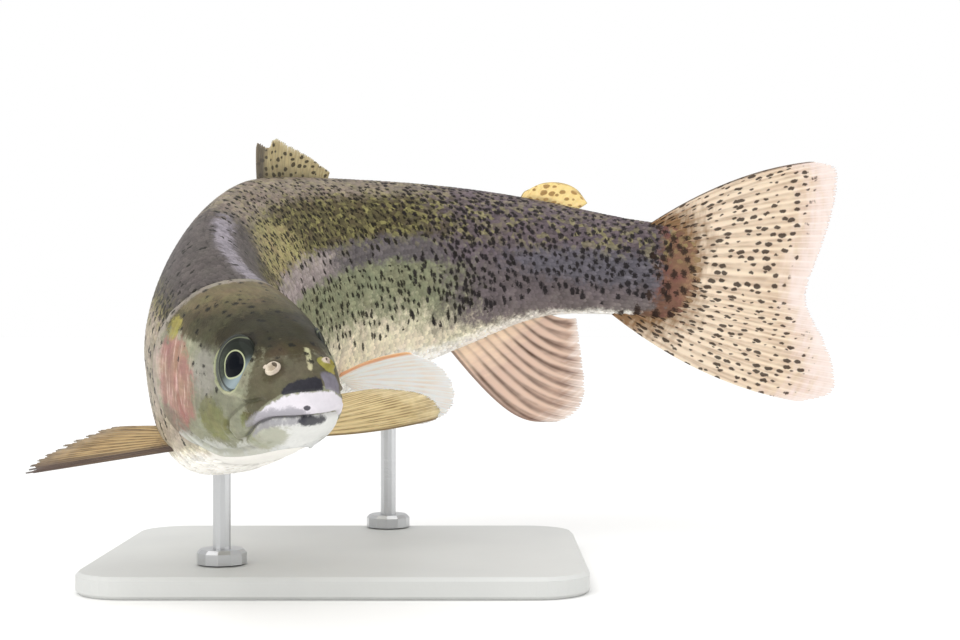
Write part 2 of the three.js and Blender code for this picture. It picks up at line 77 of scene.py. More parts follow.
def new_material(name):
    """An empty node material and its output node."""
    material = bpy.data.materials.new(name)
    material.use_nodes = True
    material.node_tree.nodes.clear()
    return material, add(material.node_tree, "OutputMaterial")


world = bpy.data.worlds.new("white_room")
world.use_nodes = True
world.node_tree.nodes.clear()
seen = add(world.node_tree, "LightPath").outputs["Is Camera Ray"]
room = add(world.node_tree, "MapRange", {"Value": seen, "To Min": 0.78, "To Max": 1.0}).outputs["Result"]
background = add(world.node_tree, "Background", {"Color": linear("#ffffff"), "Strength": room})
add(world.node_tree, "OutputWorld", {"Surface": background.outputs[0]})
bpy.context.scene.world = world


def soft_light(name, kind, place, aim, spread, power):
    """A sun whose spread is an angle, or an area light whose spread is its side."""
    light = bpy.data.lights.new(name, kind)
    if kind == "SUN":
        light.angle = math.radians(spread)
    else:
        light.size = spread
    light.energy = power
    lamp = bpy.data.objects.new(name, light)
    lamp.location = place
    lamp.rotation_euler = (Vector(aim) - Vector(place)).to_track_quat("-Z", "Y").to_euler()
    bpy.context.scene.collection.objects.link(lamp)


soft_light("overhead_daylight", "SUN", (-0.25, -0.35, 1.0), (0, 0, 0), 75, 1.5)
soft_light("camera_side_softbox", "AREA", (-0.5, -0.8, 0.45), (0, 0, 0.07), 0.5, 1.2)
soft_light("right_side_softbox", "AREA", (0.65, -0.12, 0.10), (0.01, -0.10, 0.06), 0.3, 0.3)


def mesh_object(name, points, faces, smooth=True):
    """A mesh piece from points in millimetres and its faces."""
    mesh = bpy.data.meshes.new(name)
    mesh.from_pydata(np.asarray(points) * MM, [], faces)
    mesh.update()
    mesh.polygons.foreach_set("use_smooth", np.full(len(mesh.polygons), smooth))
    piece = bpy.data.objects.new(name, mesh)
    bpy.context.scene.collection.objects.link(piece)
    return piece


FLOOR_SIZE = 6000.0
floor_mesh_corners = [(-FLOOR_SIZE, -FLOOR_SIZE, -0.05), (FLOOR_SIZE, -FLOOR_SIZE, -0.05),
                      (FLOOR_SIZE, FLOOR_SIZE, -0.05), (-FLOOR_SIZE, FLOOR_SIZE, -0.05)]
floor = mesh_object("floor", floor_mesh_corners, [(0, 1, 2, 3)])
paper, paper_out = new_material("matt_white_paper")
paper_grain = add(paper.node_tree, "TexNoise", {"Scale": 40.0, "Detail": 2.0}).outputs["Fac"]
paper_tone = add(paper.node_tree, "Mix", {0: paper_grain, 6: linear("#f6f6f5"), 7: linear("#f9f9f8")},
                 data_type="RGBA").outputs[2]
paper_shader = add(paper.node_tree, "BsdfPrincipled", {"Base Color": paper_tone, "Roughness": 0.9})
paper.node_tree.links.new(paper_shader.outputs[0], paper_out.inputs["Surface"])
floor.data.materials.append(paper)

# ---- Stand plate ----
# A flat steel plate, cut and edge-rounded, then powder coated in light grey. Its weight keeps the model
# upright, and its top shows the faint orange peel of baked powder paint.

powder, powder_out = new_material("powder_coated_steel")
tree = powder.node_tree
place = add(tree, "TexCoord").outputs["Object"]
# Orange peel has bumps about 1.2 mm apart.
peel = add(tree, "TexNoise", {"Vector": place, "Scale": 850.0, "Detail": 1.0}).outputs["Fac"]
dust = add(tree, "TexNoise", {"Vector": place, "Scale": 45.0, "Detail": 4.0}).outputs["Fac"]
plate_greys = {0: dust, 6: linear("#c9cac8"), 7: linear("#d6d7d4")}
plate_tone = add(tree, "Mix", plate_greys, data_type="RGBA").outputs[2]
peel_bump = add(tree, "Bump", {"Height": peel, "Strength": 0.35, "Distance": 0.00008}).outputs["Normal"]
plate_gloss = add(tree, "MapRange", {"Value": dust, "To Min": 0.42, "To Max": 0.55}).outputs["Result"]
powder_shader = add(tree, "BsdfPrincipled", {
    "Base Color": plate_tone, "Roughness": plate_gloss, "Normal": peel_bump})
tree.links.new(powder_shader.outputs[0], powder_out.inputs["Surface"])
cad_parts["stand_base"].data.materials.clear()
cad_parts["stand_base"].data.materials.append(powder)

# ---- Stand rods ----
# Two stainless rods turned from one bar, each with its collar, set in the plate and in the belly. Fine
# brushing runs round them and spreads their highlight sideways.

brushed, brushed_out = new_material("brushed_stainless_steel")
tree = brushed.node_tree
place = add(tree, "TexCoord").outputs["Object"]
# Grit 240 leaves rings 0.06 mm apart; they are drawn 0.2 mm apart so that they show.
rings = add(tree, "Mapping", {"Vector": place, "Scale": (60.0, 60.0, 5000.0)}).outputs["Vector"]
scratch = add(tree, "TexNoise", {"Vector": rings, "Scale": 1.0, "Detail": 2.0}).outputs["Fac"]
rod_gloss = add(tree, "MapRange", {"Value": scratch, "To Min": 0.22, "To Max": 0.4}).outputs["Result"]
rod_bump = add(tree, "Bump", {"Height": scratch, "Strength": 0.2, "Distance": 0.00005}).outputs["Normal"]
rod_shader = add(tree, "BsdfPrincipled", {
    "Base Color": linear("#c4c5c6"), "Metallic": 1.0, "Roughness": rod_gloss, "Normal": rod_bump})
tree.links.new(rod_shader.outputs[0], brushed_out.inputs["Surface"])
for rod in ("stand_rod_front", "stand_rod_rear"):
    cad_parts[rod].data.materials.clear()
    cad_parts[rod].data.materials.append(brushed)

# ---- Skin ----
# The trout's whole skin in one piece, from the lips to the root of the tail fin, over head, gill covers,
# trunk and tail stem. It is smooth and wet with mucus, bare on the head and under the scales behind it.

BODY_LENGTH = 295.0
SNOUT_TIP = (2.8, -119.7, 54.7)
BEND_START, BEND_END, BEND_EASE = 0.131, 0.94, 0.12
HEADING_HEAD, HEADING_TAIL = 116.8, -6.0
TAIL_CURL, TAIL_CURL_START = -2.4, 0.72
SLOPE_HEAD, SLOPE_BEND, SLOPE_TAIL = 6.6, 13.6, -6.7
LEAN_HEAD, LEAN_BEND, LEAN_TAIL = -4.0, -5.3, -3.1

# Along the body from snout (0) to tail root (1): back, belly, half width, fullness above and below.
BODY_STATIONS = [
    (0.02, 8.6, 7.6, 9.0, 2.2, 2.4), (0.05, 13.4, 12.4, 12.2, 2.4, 2.5),
    (0.10, 18.6, 18.0, 15.0, 2.6, 2.6), (0.15, 22.5, 22.6, 17.2, 2.35, 2.7),
    (0.20, 25.3, 27.2, 18.8, 2.05, 2.8), (0.25, 28.3, 31.6, 19.8, 1.8, 2.8),
    (0.35, 32.6, 36.2, 20.0, 1.7, 2.6), (0.45, 36.6, 36.8, 19.2, 1.72, 2.4),
    (0.50, 37.6, 36.4, 18.5, 1.8, 2.3), (0.55, 36.0, 35.8, 17.6, 1.9, 2.2),
    (0.65, 30.6, 34.0, 15.3, 2.0, 2.1), (0.75, 25.2, 28.2, 12.5, 2.0, 2.1),
    (0.85, 20.0, 19.0, 9.1, 2.1, 2.1), (0.92, 17.3, 16.3, 6.5, 2.2, 2.2),
    (0.97, 16.6, 15.8, 3.9, 2.2, 2.2), (1.00, 17.0, 16.4, 2.0, 2.2, 2.2),
    (1.03, 15.2, 14.2, 0.8, 2.2, 2.2)]
BLUNT_SNOUT = 0.02
HEAD_END_CROWN, HEAD_END_SIDE, HEAD_END_THROAT, THROAT_NOTCH = 0.174, 0.213, 0.085, 0.04


def smooth_column(rows, column):
    """A smooth curve through one column of a table against its first column."""
    table = np.asarray(rows, float)
    x, y = table[:, 0], table[:, column]
    before = np.maximum(np.arange(len(x)) - 1, 0)
    after = np.minimum(np.arange(len(x)) + 1, len(x) - 1)
    slope = (y[after] - y[before]) / (x[after] - x[before])

    def curve(at):
        at = np.asarray(at, float)
        i = np.clip(np.searchsorted(x, at, side="right") - 1, 0, len(x) - 2)
        step = x[i + 1] - x[i]
        u = np.clip((at - x[i]) / step, 0, 1)
        ends = y[i] * (2 * u**3 - 3 * u**2 + 1) + y[i + 1] * (3 * u**2 - 2 * u**3)
        lean = slope[i] * step * (u**3 - 2 * u**2 + u) + slope[i + 1] * step * (u**3 - u**2)
        return ends + lean
    return curve


def rise(x, low, high):
    """0 at low, 1 at high, with a smooth change between; low may be above high."""
    u = np.clip((np.asarray(x, float) - low) / (high - low), 0, 1)
    return u * u * (3 - 2 * u)


def bend_share(along):
    """The share of the whole bend that is reached at a place along the body."""
    span = BEND_END - BEND_START
    ease = BEND_EASE / span
    x = np.clip((along - BEND_START) / span, 0, 1)
    first = x**2 / (2 * ease) / (1 - ease)
    last = 1 - (1 - x) ** 2 / (2 * ease) / (1 - ease)
    return np.where(x < ease, first, np.where(x > 1 - ease, last, (x - ease / 2) / (1 - ease)))


def spine_axes(along):
    """The directions tailwards, left and up at a place along the spine."""
    share = bend_share(along)
    bump = 4 * share * (1 - share)
    curl = TAIL_CURL * rise(along, TAIL_CURL_START, 1)
    heading = np.radians(HEADING_HEAD + (HEADING_TAIL - HEADING_HEAD) * share + curl)
    slope = np.radians(SLOPE_HEAD + (SLOPE_TAIL - SLOPE_HEAD) * share + SLOPE_BEND * bump)
    lean = np.radians(LEAN_HEAD + (LEAN_TAIL - LEAN_HEAD) * share + LEAN_BEND * bump)[..., None]
    tail = np.stack([np.cos(slope) * np.cos(heading), np.cos(slope) * np.sin(heading), np.sin(slope)], -1)
    plumb = np.array((0, 0, 1.0)) - tail * tail[..., 2:]
    plumb /= np.linalg.norm(plumb, axis=-1, keepdims=True)
    up = plumb * np.cos(lean) + np.cross(tail, plumb) * np.sin(lean)
    return tail, np.cross(tail, up), up


SPINE_PLACES = np.linspace(0, 1.2, 961)
spine_tail = spine_axes(SPINE_PLACES)[0]
spine_steps = (spine_tail[1:] + spine_tail[:-1]) / 2 * BODY_LENGTH * SPINE_PLACES[1]
SPINE = np.array(SNOUT_TIP) + np.vstack([np.zeros(3), np.cumsum(spine_steps, 0)])


def fish_point(along, left, up):
    """A point given by its place along the body and its millimetres left of and above the spine."""
    along, left, up = np.broadcast_arrays(*(np.asarray(v, float) for v in (along, left, up)))
    tail, side, top = spine_axes(along)
    middle = np.stack([np.interp(along, SPINE_PLACES, SPINE[:, k]) for k in range(3)], -1)
    middle = middle + tail * (np.minimum(along, 0) * BODY_LENGTH)[..., None]
    return middle + side * left[..., None] + top * up[..., None]


back_at, belly_at, half_width_at, upper_at, lower_at = (
    smooth_column(BODY_STATIONS, k) for k in range(1, 6))


def section(along, angle):
    """Left and up of the surface at an angle round the spine: 0 is left, a quarter turn the back."""
    blunt = np.sqrt(np.clip(along / BLUNT_SNOUT, 0, 1))
    sine, cosine = np.sin(angle), np.cos(angle)
    power = 2 / np.where(sine >= 0, upper_at(along), lower_at(along))
    height = blunt * np.where(sine >= 0, back_at(along), belly_at(along))
    left = blunt * half_width_at(along) * np.sign(cosine) * np.abs(cosine) ** power
    return left, height * np.sign(sine) * np.abs(sine) ** power


def head_end_at(angle):
    """The place along the body where the head ends, round the body."""
    sine = np.sin(angle)
    above = HEAD_END_SIDE + (HEAD_END_CROWN - HEAD_END_SIDE) * sine**2
    below = HEAD_END_SIDE + (HEAD_END_THROAT - HEAD_END_SIDE) * np.abs(sine) ** 1.2
    below = below - THROAT_NOTCH * rise(-sine, 0.77, 1.0)
    return np.where(sine > 0, above, below)


# Lines on the side of the head as millimetres behind the snout tip and above the spine.
MOUTH_LINE = [(-2, -2.3), (2.0, -2.5), (5.5, -3.0), (10.1, -4.8), (14.5, -7.6), (19.0, -10.2),
              (24.0, -11.6)]
MOUTH_END = 21.0
MAXILLA_TOP = [(4.6, 0.9), (7.5, 1.3), (12.4, 0.0), (17.0, -2.6), (21.0, -5.0), (22.8, -8.0),
               (20.5, -10.6)]
UNDER_EYE = [(7.5, 2.2), (12.6, 0.9), (17.4, 1.3), (22.0, 1.2), (26.0, 3.0)]
CHEEK_LINE = [(26.5, -9.5), (34.0, -11.0), (41.5, -10.4), (45.0, -7.0), (47.2, -1.6), (47.3, 8.6)]
GILL_FOLD = [(9.0, -9.4), (15.0, -11.8), (25.4, -15.0), (34.0, -16.4), (40.5, -14.6), (48.5, -10.5)]
EYE_PLACE, EYE_UP, EYE_LEFT = 20.65, 7.3, 10.8
ORBIT_PLACE, ORBIT_UP, ORBIT_RADIUS = 20.7, 7.4, 5.9
LEFT_EYE_SHIFT = 1.6
NOSTRIL, NOSTRIL_FLAP = (7.9, 6.5, 7.8), (9.9, 7.6, 8.1)
mouth_up = smooth_column(MOUTH_LINE, 1)

# Rings of points: close together on the head, wider on the trunk, with one ring on the gill covers' edge.
HEAD_ROWS, TRUNK_ROWS, COLUMNS = 190, 215, 264
MOUTH_COLUMN = math.radians(-30)
head_steps = np.linspace(0, 1, HEAD_ROWS + 1)[1:] ** 1.5
base_angle = np.linspace(-math.pi / 2, 1.5 * math.pi, COLUMNS, endpoint=False)
left_half = np.where(base_angle > math.pi / 2, math.pi - base_angle, base_angle)


def column_angles(along):
    """The angle of each column on a ring, drawn so that one column runs along the mouth line."""
    x = along * BODY_LENGTH
    depth = np.sqrt(np.clip(along / BLUNT_SNOUT, 1e-6, 1)) * belly_at(along)
    reach = np.clip(-mouth_up(x) / depth, 0, 0.9)
    mouth = -np.arcsin(reach ** (lower_at(along) / 2))
    hold = rise(x, 40, MOUTH_END)
    mouth = MOUTH_COLUMN + (mouth - MOUTH_COLUMN) * hold
    crowd = 1 + 0.25 * hold
    above = np.clip((left_half - MOUTH_COLUMN) / (math.pi / 2 - MOUTH_COLUMN), 0, 1) ** crowd
    below = np.clip((MOUTH_COLUMN - left_half) / (math.pi / 2 + MOUTH_COLUMN), 0, 1) ** crowd
    angle = mouth + (math.pi / 2 - mouth) * above - (mouth + math.pi / 2) * below
    return np.where(base_angle > math.pi / 2, math.pi - angle, angle)


head_along = np.repeat((head_steps * 0.2)[:, None], COLUMNS, 1)
for _ in range(5):
    head_angle = column_angles(head_along)
    head_along = head_end_at(head_angle) * head_steps[:, None]
trunk_angle = np.repeat(head_angle[-1:], TRUNK_ROWS, 0)
edge_gap = 0.12 / BODY_LENGTH
trunk_steps = np.linspace(0, 1, TRUNK_ROWS)[:, None] ** 1.15
trunk_start = head_along[-1] + edge_gap
trunk_along = trunk_start + (BODY_STATIONS[-1][0] - trunk_start) * trunk_steps
skin_along = np.vstack([head_along, trunk_along])
skin_angle = np.vstack([head_angle, trunk_angle])
SKIN_ROWS = HEAD_ROWS + TRUNK_ROWS


def distance_to_line(x, z, line):
    """Distance in side view from points to a broken line, and how far along it the nearest place is."""
    best = np.full(np.shape(x), 1e9)
    share = np.zeros(np.shape(x))
    for i, ((ax, az), (bx, bz)) in enumerate(zip(line, line[1:])):
        length = (bx - ax) ** 2 + (bz - az) ** 2
        t = np.clip(((x - ax) * (bx - ax) + (z - az) * (bz - az)) / length, 0, 1)
        away = np.hypot(x - ax - t * (bx - ax), z - az - t * (bz - az))
        share = np.where(away < best, (i + t) / (len(line) - 1), share)
        best = np.minimum(best, away)
    return best, share


def hump(distance, width):
    return np.exp(-((distance / width) ** 2))


def nostril_distances(x, left, up):
    """Millimetres from the nostril's tube and from its flap, on either side."""
    return [np.sqrt((x - at[0])**2 + (np.abs(left) - at[1])**2 + (up - at[2])**2)
            for at in (NOSTRIL, NOSTRIL_FLAP)]


def skin_relief(along, angle, left, up):
    """Height of the skin over the plain body, in millimetres, outwards."""
    x = along * BODY_LENGTH
    side = np.abs(left)
    behind = x - head_end_at(angle) * BODY_LENGTH
    on_head = behind <= 0
    side_face = rise(side, 2.0, 5.0)
    height = np.where(on_head, -0.05, -0.42)
    # Gill cover: a thin bony plate that stands a little proud, with a groove behind its free edge.
    cover = rise(np.sin(angle), 0.76, 0.55)
    height = height + np.where(on_head, cover * (0.35 * rise(x, 34, 48) + 0.35 * hump(behind, 3.0)), 0)
    groove = 0.12 + 0.95 * cover
    height = height - np.where(on_head, 0.0, groove * np.exp(-np.clip(behind, 0, None) / 1.6))
    # Mouth: a slit between the upper lip and the lower jaw, closed towards the jaw's corner.
    over = up - mouth_up(x)
    mouth = rise(x, MOUTH_END + 1.5, MOUTH_END - 4)
    height = height + mouth * (0.55 * hump(over - 1.4, 1.1) + 0.35 * hump(over + 1.7, 1.3))
    height = height - mouth * (0.7 * hump(over, 0.45) + 0.35 * hump(over, 1.1))
    # Maxilla, a plate that stands proud of the cheek, the bones under the eye and the cheek plate.
    away, share = distance_to_line(x, up, MAXILLA_TOP)
    inside = rise(over, 0.3, 1.2) * rise(x, 4.5, 7.5)
    seam = rise(share, 0.04, 0.22) * hump(away, 0.5)
    plate = 0.30 * hump(away - 1.4, 0.9) * inside * rise(share, 0.02, 0.2)
    height = height - side_face * (0.45 * seam - plate)
    away, share = distance_to_line(x, up, UNDER_EYE)
    ridge = 0.28 * hump(away, 0.55) - 0.22 * hump(away - 1.0, 0.5)
    height = height + side_face * rise(share, 0, 0.15) * ridge
    away, share = distance_to_line(x, up, CHEEK_LINE)
    height = height - side_face * rise(share, 0, 0.12) * 0.32 * hump(away, 0.5)
    # Folds of the thin gill membrane under the jaw, fainter on the left.
    away, share = distance_to_line(x, up, GILL_FOLD)
    fade = rise(share, 0.1, 0.4) * rise(share, 1, 0.85) * side_face * np.where(left > 0, 0.4, 1.0)
    fold = 0.30 * hump(away, 0.5) - 0.40 * hump(away - 1.0, 0.5) * rise(-up, 8.5, 10.5)
    height = height + fade * fold
    # Eye socket with a soft raised rim, and a brow over it; the left one is shallower.
    orbit = np.hypot(x - ORBIT_PLACE - LEFT_EYE_SHIFT * (left > 0), up - ORBIT_UP) + 0.4 * (left > 0)
    rim = 0.30 * hump(orbit - ORBIT_RADIUS - 0.7, 0.7)
    height = height + side_face * rim * np.where(left > 0, 0.3, 1.0)
    height = height + side_face * 0.4 * hump(np.hypot((x - ORBIT_PLACE) / 1.7, up - 15.2), 2.6)
    deep = np.where(left > 0, 2.6, 5.0)
    height = height - side_face * deep * rise(orbit, ORBIT_RADIUS, ORBIT_RADIUS - 0.35)
    # Nostrils: a short fleshy tube, and the second opening close behind it under a flap.
    tube, flap = nostril_distances(x, left, up)
    nostril = 1.0 * hump(tube - 1.3, 0.5) + 0.3 * hump(tube, 2.2) - 0.8 * hump(tube, 0.6)
    height = height + side_face * nostril
    height = height + side_face * (0.45 * hump(flap, 0.45))
    # A shallow hollow between eye and nostril.
    height = height - side_face * 0.30 * hump(np.hypot((x - 12.6) / 1.2, up - 9.0), 2.0)
    return height


def surface_with_relief(along, angle):
    """Points of the finished skin, and left and up of the plain body under them."""
    left, up = section(along, angle)
    points = fish_point(along, left, up)
    down_rows = np.gradient(points, axis=0)
    round_ring = np.roll(points, -1, 1) - np.roll(points, 1, 1)
    outward = np.cross(round_ring, down_rows)
    outward /= np.linalg.norm(outward, axis=-1, keepdims=True)
    if np.sum(outward * (points - fish_point(along, 0, 0))) < 0:
        outward = -outward
    return points + outward * skin_relief(along, angle, left, up)[..., None], left, up


skin_points, skin_left, skin_up = surface_with_relief(skin_along, skin_angle)


# The side line: place along the body, and height over the spine in millimetres.
SIDE_LINE = [(0.22, 6.5), (0.45, 8.0), (0.52, 7.0), (0.64, 5.5), (0.71, 2.5), (0.79, 0.5), (1.0, 0.0)]


def side_line_up(along):
    """Height of the side line over the spine, in millimetres."""
    return np.interp(along, *zip(*SIDE_LINE))


def patch(x, z, place, up, long, high, tilt=0.0, soft=1.0):
    """1 inside an oval on the side of the body, falling softly to 0 round it."""
    c, s = math.cos(math.radians(tilt)), math.sin(math.radians(tilt))
    u = ((x - place) * c + (z - up) * s) / long
    v = (-(x - place) * s + (z - up) * c) / high
    return rise(np.hypot(u, v), 1 + 0.45 * soft, 1 - 0.45 * soft)


def trunk_markings(m, x, along, angle, left, up, trunk):
    """Colours of the scaled body: belly to back, side band, shoulders, tail stem and its spots.

    Level runs from -1 at the belly to 1 at the back; x is in millimetres behind the snout tip.
    """
    level = up / np.where(up >= 0, back_at(along), belly_at(along))
    over_line = up - side_line_up(along)
    rear = rise(along, 0.60, 0.74)
    stem = rise(along, 0.68, 0.88)
    m["flank"] = trunk * rise(level + 0.12 * rear, -0.96, -0.62)
    m["green"] = trunk * rise(level + 0.26 * rear + 0.04 * rise(along, 0.44, 0.60), -0.85, 0.05)
    m["upper"] = trunk * rise(over_line, -2.0, 8.0)
    m["shoulder"] = trunk * rise(x, 124, 78) * rise(level, 0.70, 0.30) * rise(level, -0.95, -0.50)
    m["gold"] = trunk * patch(x, up, 122, 18, 20, 10, -8)
    m["band"] = trunk * hump(over_line - 0.3, 5.0 - 1.4 * stem) * (1 - 0.35 * stem) * rise(x, 70, 105)
    m["band_pale"] = m["band"] * rise(x, 172, 142)
    m["back"] = trunk * rise(level, 0.58, 0.95)
    m["nape"] = trunk * rise(x, 134, 100) * rise(level, 0.42, 0.82)
    # Painted highlight: a lilac sheen of reflected light along the left shoulder of the back, near its
    # outline.
    m["painted_sheen"] = trunk * hump(left - 5.0, 2.9) * rise(up, 19, 24) * rise(x, 122, 104)
    m["stem"] = trunk * rise(along, 0.60, 0.84) * rise(level + 0.1 * stem, -1.0, -0.66)
    m["stem_band"] = trunk * rise(along, 0.70, 0.90) * hump(up + 1.0, 6.5)
    root = along + 0.030 * rise(level, -0.75, -1.0) + 0.010 * rise(level, 0.8, 1.0)
    m["root"] = rise(root, 0.955, 1.005)
    m["root_end"] = rise(root, 0.99, 1.04)
    m["flecks"] = m["upper"] * (1 - m["nape"]) * (1 - 0.6 * m["back"]) * (1 - 0.6 * m["stem_band"])
    spots = 0.95 * rise(over_line, 2.5, 6.5) * (1 - 0.35 * rise(level, 0.72, 0.95))
    spots = np.maximum(spots, 0.85 * hump(over_line + 8.0, 2.6))
    spots = np.maximum(spots, 0.48 * rise(over_line, -4, -9) * rise(level, -0.72, -0.38))
    spots = np.maximum(spots, 0.20 * rise(np.abs(over_line), 6, 5))
    spots = spots * (1 - 0.85 * m["nape"])
    m["spots"] = trunk * spots * rise(along, 0.84, 0.70)
    m["blotches"] = trunk * rise(along, 0.62, 0.82) * rise(level, -0.80, -0.35) * rise(root, 0.995, 0.965)
    m["root_spots"] = rise(root, 0.955, 0.985)
    m["mottle"] = np.clip(trunk * (0.15 + m["green"]), 0.0, 1.0)


def head_markings(m, x, left, up, angle, bare):
    """Colours of the bare head: crown, cheek, gill cover, lips, nostrils and throat.

    Places are millimetres behind the snout tip, left of the spine and above it.
    """
    side = np.abs(left)
    side_face = rise(side, 2.5, 5.0)
    over_mouth = up - mouth_up(x)
    lip_top = np.where(x < 4.4, 2.9 - 0.0006 * side**4, 1.0 - 0.8 * (x - 4.4))
    over_lip = up - lip_top
    pale_from = -6.5 - 0.33 * np.clip(x - 5, 0, 20)
    m["head"] = bare
    m["silver"] = bare * patch(x, up, 32.5, 4.0, 6.5, 7.0, 0, 1.4)
    m["throat"] = bare * rise(up - pale_from, 3.0, -3.0)
    by_mouth = 0.7 * patch(x, up, 12.5, -4.2, 3.2, 2.2, -30)
    m["lime"] = bare * np.maximum(patch(x, up, 29, -6.6, 7.0, 5.2), by_mouth)
    behind_eye = 0.7 * patch(x, up, 34, -3.0, 4, 3.5)
    m["cheek_dark"] = bare * np.maximum(patch(x, up, 24.0, -1.2, 7.0, 2.2), behind_eye)
    m["salmon"] = bare * np.maximum(patch(x, up, 49.0, 1.0, 11.0, 9.5, 25, 1.3),
                                    0.8 * patch(x, up, 44.5, -6.5, 8.0, 4.5, -35, 1.2))
    m["cover_rear"] = bare * np.maximum(patch(x, up, 50, -10.5, 7, 3.0, 20), rise(x, 58, 63))
    m["crown"] = bare * rise(up - 0.04 * x, 6.5, 12.5)
    m["brow"] = bare * patch(x, up, 29, 13.5, 14, 4.5)
    # Painted highlight: the rear of the crown is made lighter where light falls on its ridge.
    m["crown_highlight"] = bare * rise(x, 27, 45) * rise(up, 14, 20)
    m["forehead"] = bare * np.maximum(patch(x, up, 20, 15, 11, 5.5), 0.45 * patch(x, up, 40, 17.5, 7, 4))
    m["cover_pale"] = bare * rise(x, 54, 62) * rise(up, -12, -6)
    m["snout"] = bare * rise(x, 17, 9) * rise(over_lip, 0.3, 1.5)
    # Painted highlight: a pale line where light catches the ridge at the head's rear edge.
    m["crest_highlight"] = hump(x - head_end_at(angle) * BODY_LENGTH + 0.9, 1.9) * rise(up, 7, 16)
    eye = np.hypot(x - ORBIT_PLACE - LEFT_EYE_SHIFT * (left > 0), up - ORBIT_UP) - ORBIT_RADIUS
    m["eye_ring"] = bare * hump(eye - 0.3, 0.5) * side_face * rise(up - 0.6 * (x - ORBIT_PLACE), 9.0, 6.0)
    # Painted shade: the upper rim of the eye socket is darkened, as under the brow.
    m["painted_eye_shade"] = bare * hump(eye, 0.9) * side_face * rise(up, 8, 12)
    m["under_eye"] = bare * hump(distance_to_line(x, up, UNDER_EYE)[0], 0.5) * side_face * rise(x, 9, 16)
    m["maxilla"] = bare * hump(distance_to_line(x, up, MAXILLA_TOP)[0], 0.5) * side_face * rise(x, 4, 8)
    m["fold"] = bare * hump(distance_to_line(x, up, GILL_FOLD)[0] - 0.9, 0.55) * (up < -9) * side_face
    slate = bare * rise(over_lip, -0.2, 0.8) * rise(x, 8, 5)
    below_snout = slate * rise(up + 0.055 * left**2, 7.0, 5.2)
    m["slate"] = below_snout * rise(left, 4.2, 2.6) * rise(left, -7.0, -5.2)
    m["slate_pale"] = slate * rise(up, 7.4, 5.6) * rise(left, 2.6, 4.2) * rise(left, 9.5, 7.5)
    m["lip"] = bare * rise(over_mouth, -0.6, 0.6) * rise(over_lip, 1.2, -0.8) * rise(x, 17, 7)
    # Painted shade: grey along the mouth line, above and below its groove.
    shade = np.maximum(hump(over_mouth - 0.9, 1.6), 0.8 * hump(over_mouth + 1.0, 0.9))
    m["painted_lip_shade"] = bare * shade * rise(x, 17, 11) * rise(left, 1.0, -4.0)
    m["chin"] = bare * rise(over_mouth, 0.1, -0.4) * rise(x, 19, 7)
    m["jaw_olive"] = bare * patch(x, up, 10.5, -8.2, 7.0, 2.6, -25, 1.3) * rise(left, -1.5, -6.0)
    m["jaw_grey"] = bare * rise(up - pale_from, 3.5, -4.5) * rise(x, 8, 18) * rise(left, -1.0, -6.0)
    low = hump(over_mouth + 1.1, 1.0) * rise(left, -4.6, -1.6) * rise(left, 4.6, 3.0) * rise(x, 6.5, 4.5)
    dot = patch(left, up, -1.5, -0.2, 0.8, 0.6) * rise(x, 3, 1)
    m["ink"] = bare * np.maximum(low, dot)
    # Painted shade in the groove of the mouth slit.
    m["slit_shade"] = bare * hump(over_mouth, 0.4) * rise(x, 20, 14) * rise(left, 3.0, -1.0)
    tube, flap = nostril_distances(x, left, up)
    m["nostril_shade"] = bare * rise(tube, 4.6, 1.6)
    m["cream_and_highlight"] = bare * np.maximum(rise(tube, 2.1, 1.6), rise(flap, 0.85, 0.45)) * (left < 0)
    # On the left nostril the pale spot at its top is a painted highlight, laid into the cream mask.
    pale = np.sqrt((x - NOSTRIL[0] + 0.4)**2 + (left - NOSTRIL[1])**2 + (up - NOSTRIL[2] - 1.0)**2)
    m["cream_and_highlight"] = np.maximum(m["cream_and_highlight"], bare * rise(pale, 2.0, 1.2))
    # Painted shade: a dark crescent inside the nostril's opening, on the side towards the middle.
    m["hole"] = bare * rise(np.abs(tube - 0.95), 0.42, 0.12) * rise(NOSTRIL[1] - side, -0.2, 0.5)
    streak = hump(left - 1.1 - 0.29 * (x - 4.4), 0.35 + 0.05 * x)
    streak = streak * rise(x, 3.2, 5.4) * rise(x, 12.5, 10.5)
    m["streak"] = bare * streak * (up > 4)
    m["yellow"] = 0.75 * patch(x, up, 52.4, 12.6, 3.9, 2.9, 0, 1.2) * (angle > 1.5)
    m["yellow"] = np.maximum(m["yellow"], bare * rise(tube, 3.3, 2.2) * (left > 0))
    spots = rise(up, 4, 9) * rise(x, 5, 12)
    m["head_spots"] = bare * np.maximum(spots, 0.8 * patch(x, up, 33, 2.0, 9, 5))
    plain = np.maximum(m["throat"], np.maximum(m["chin"], m["lip"]))
    m["mottle"] = np.maximum(m["mottle"], bare * (1 - 0.8 * plain))


def markings(along, angle, left, up):
    """How strongly each colour and the spots show at each place on skin and scales."""
    x = along * BODY_LENGTH
    trunk = rise(x - head_end_at(angle) * BODY_LENGTH, -1.0, 1.4)
    m = {}
    trunk_markings(m, x, along, angle, left, up, trunk)
    head_markings(m, x, left, up, angle, 1 - trunk)
    return m


def pattern_places(along, angle, left, up):
    """Millimetres along and round the body, for flat patterns, and along, left and up, for clouds."""
    x = along * BODY_LENGTH
    height = np.where(up >= 0, back_at(along), belly_at(along))
    widening = 0.75 * half_width_at(along) * (1 - (up / height) ** 4)
    round_body = np.sign(left) * (widening + back_at(along) - up)
    return np.stack([x, round_body, 0 * x], -1), np.stack([x, left, up], -1)


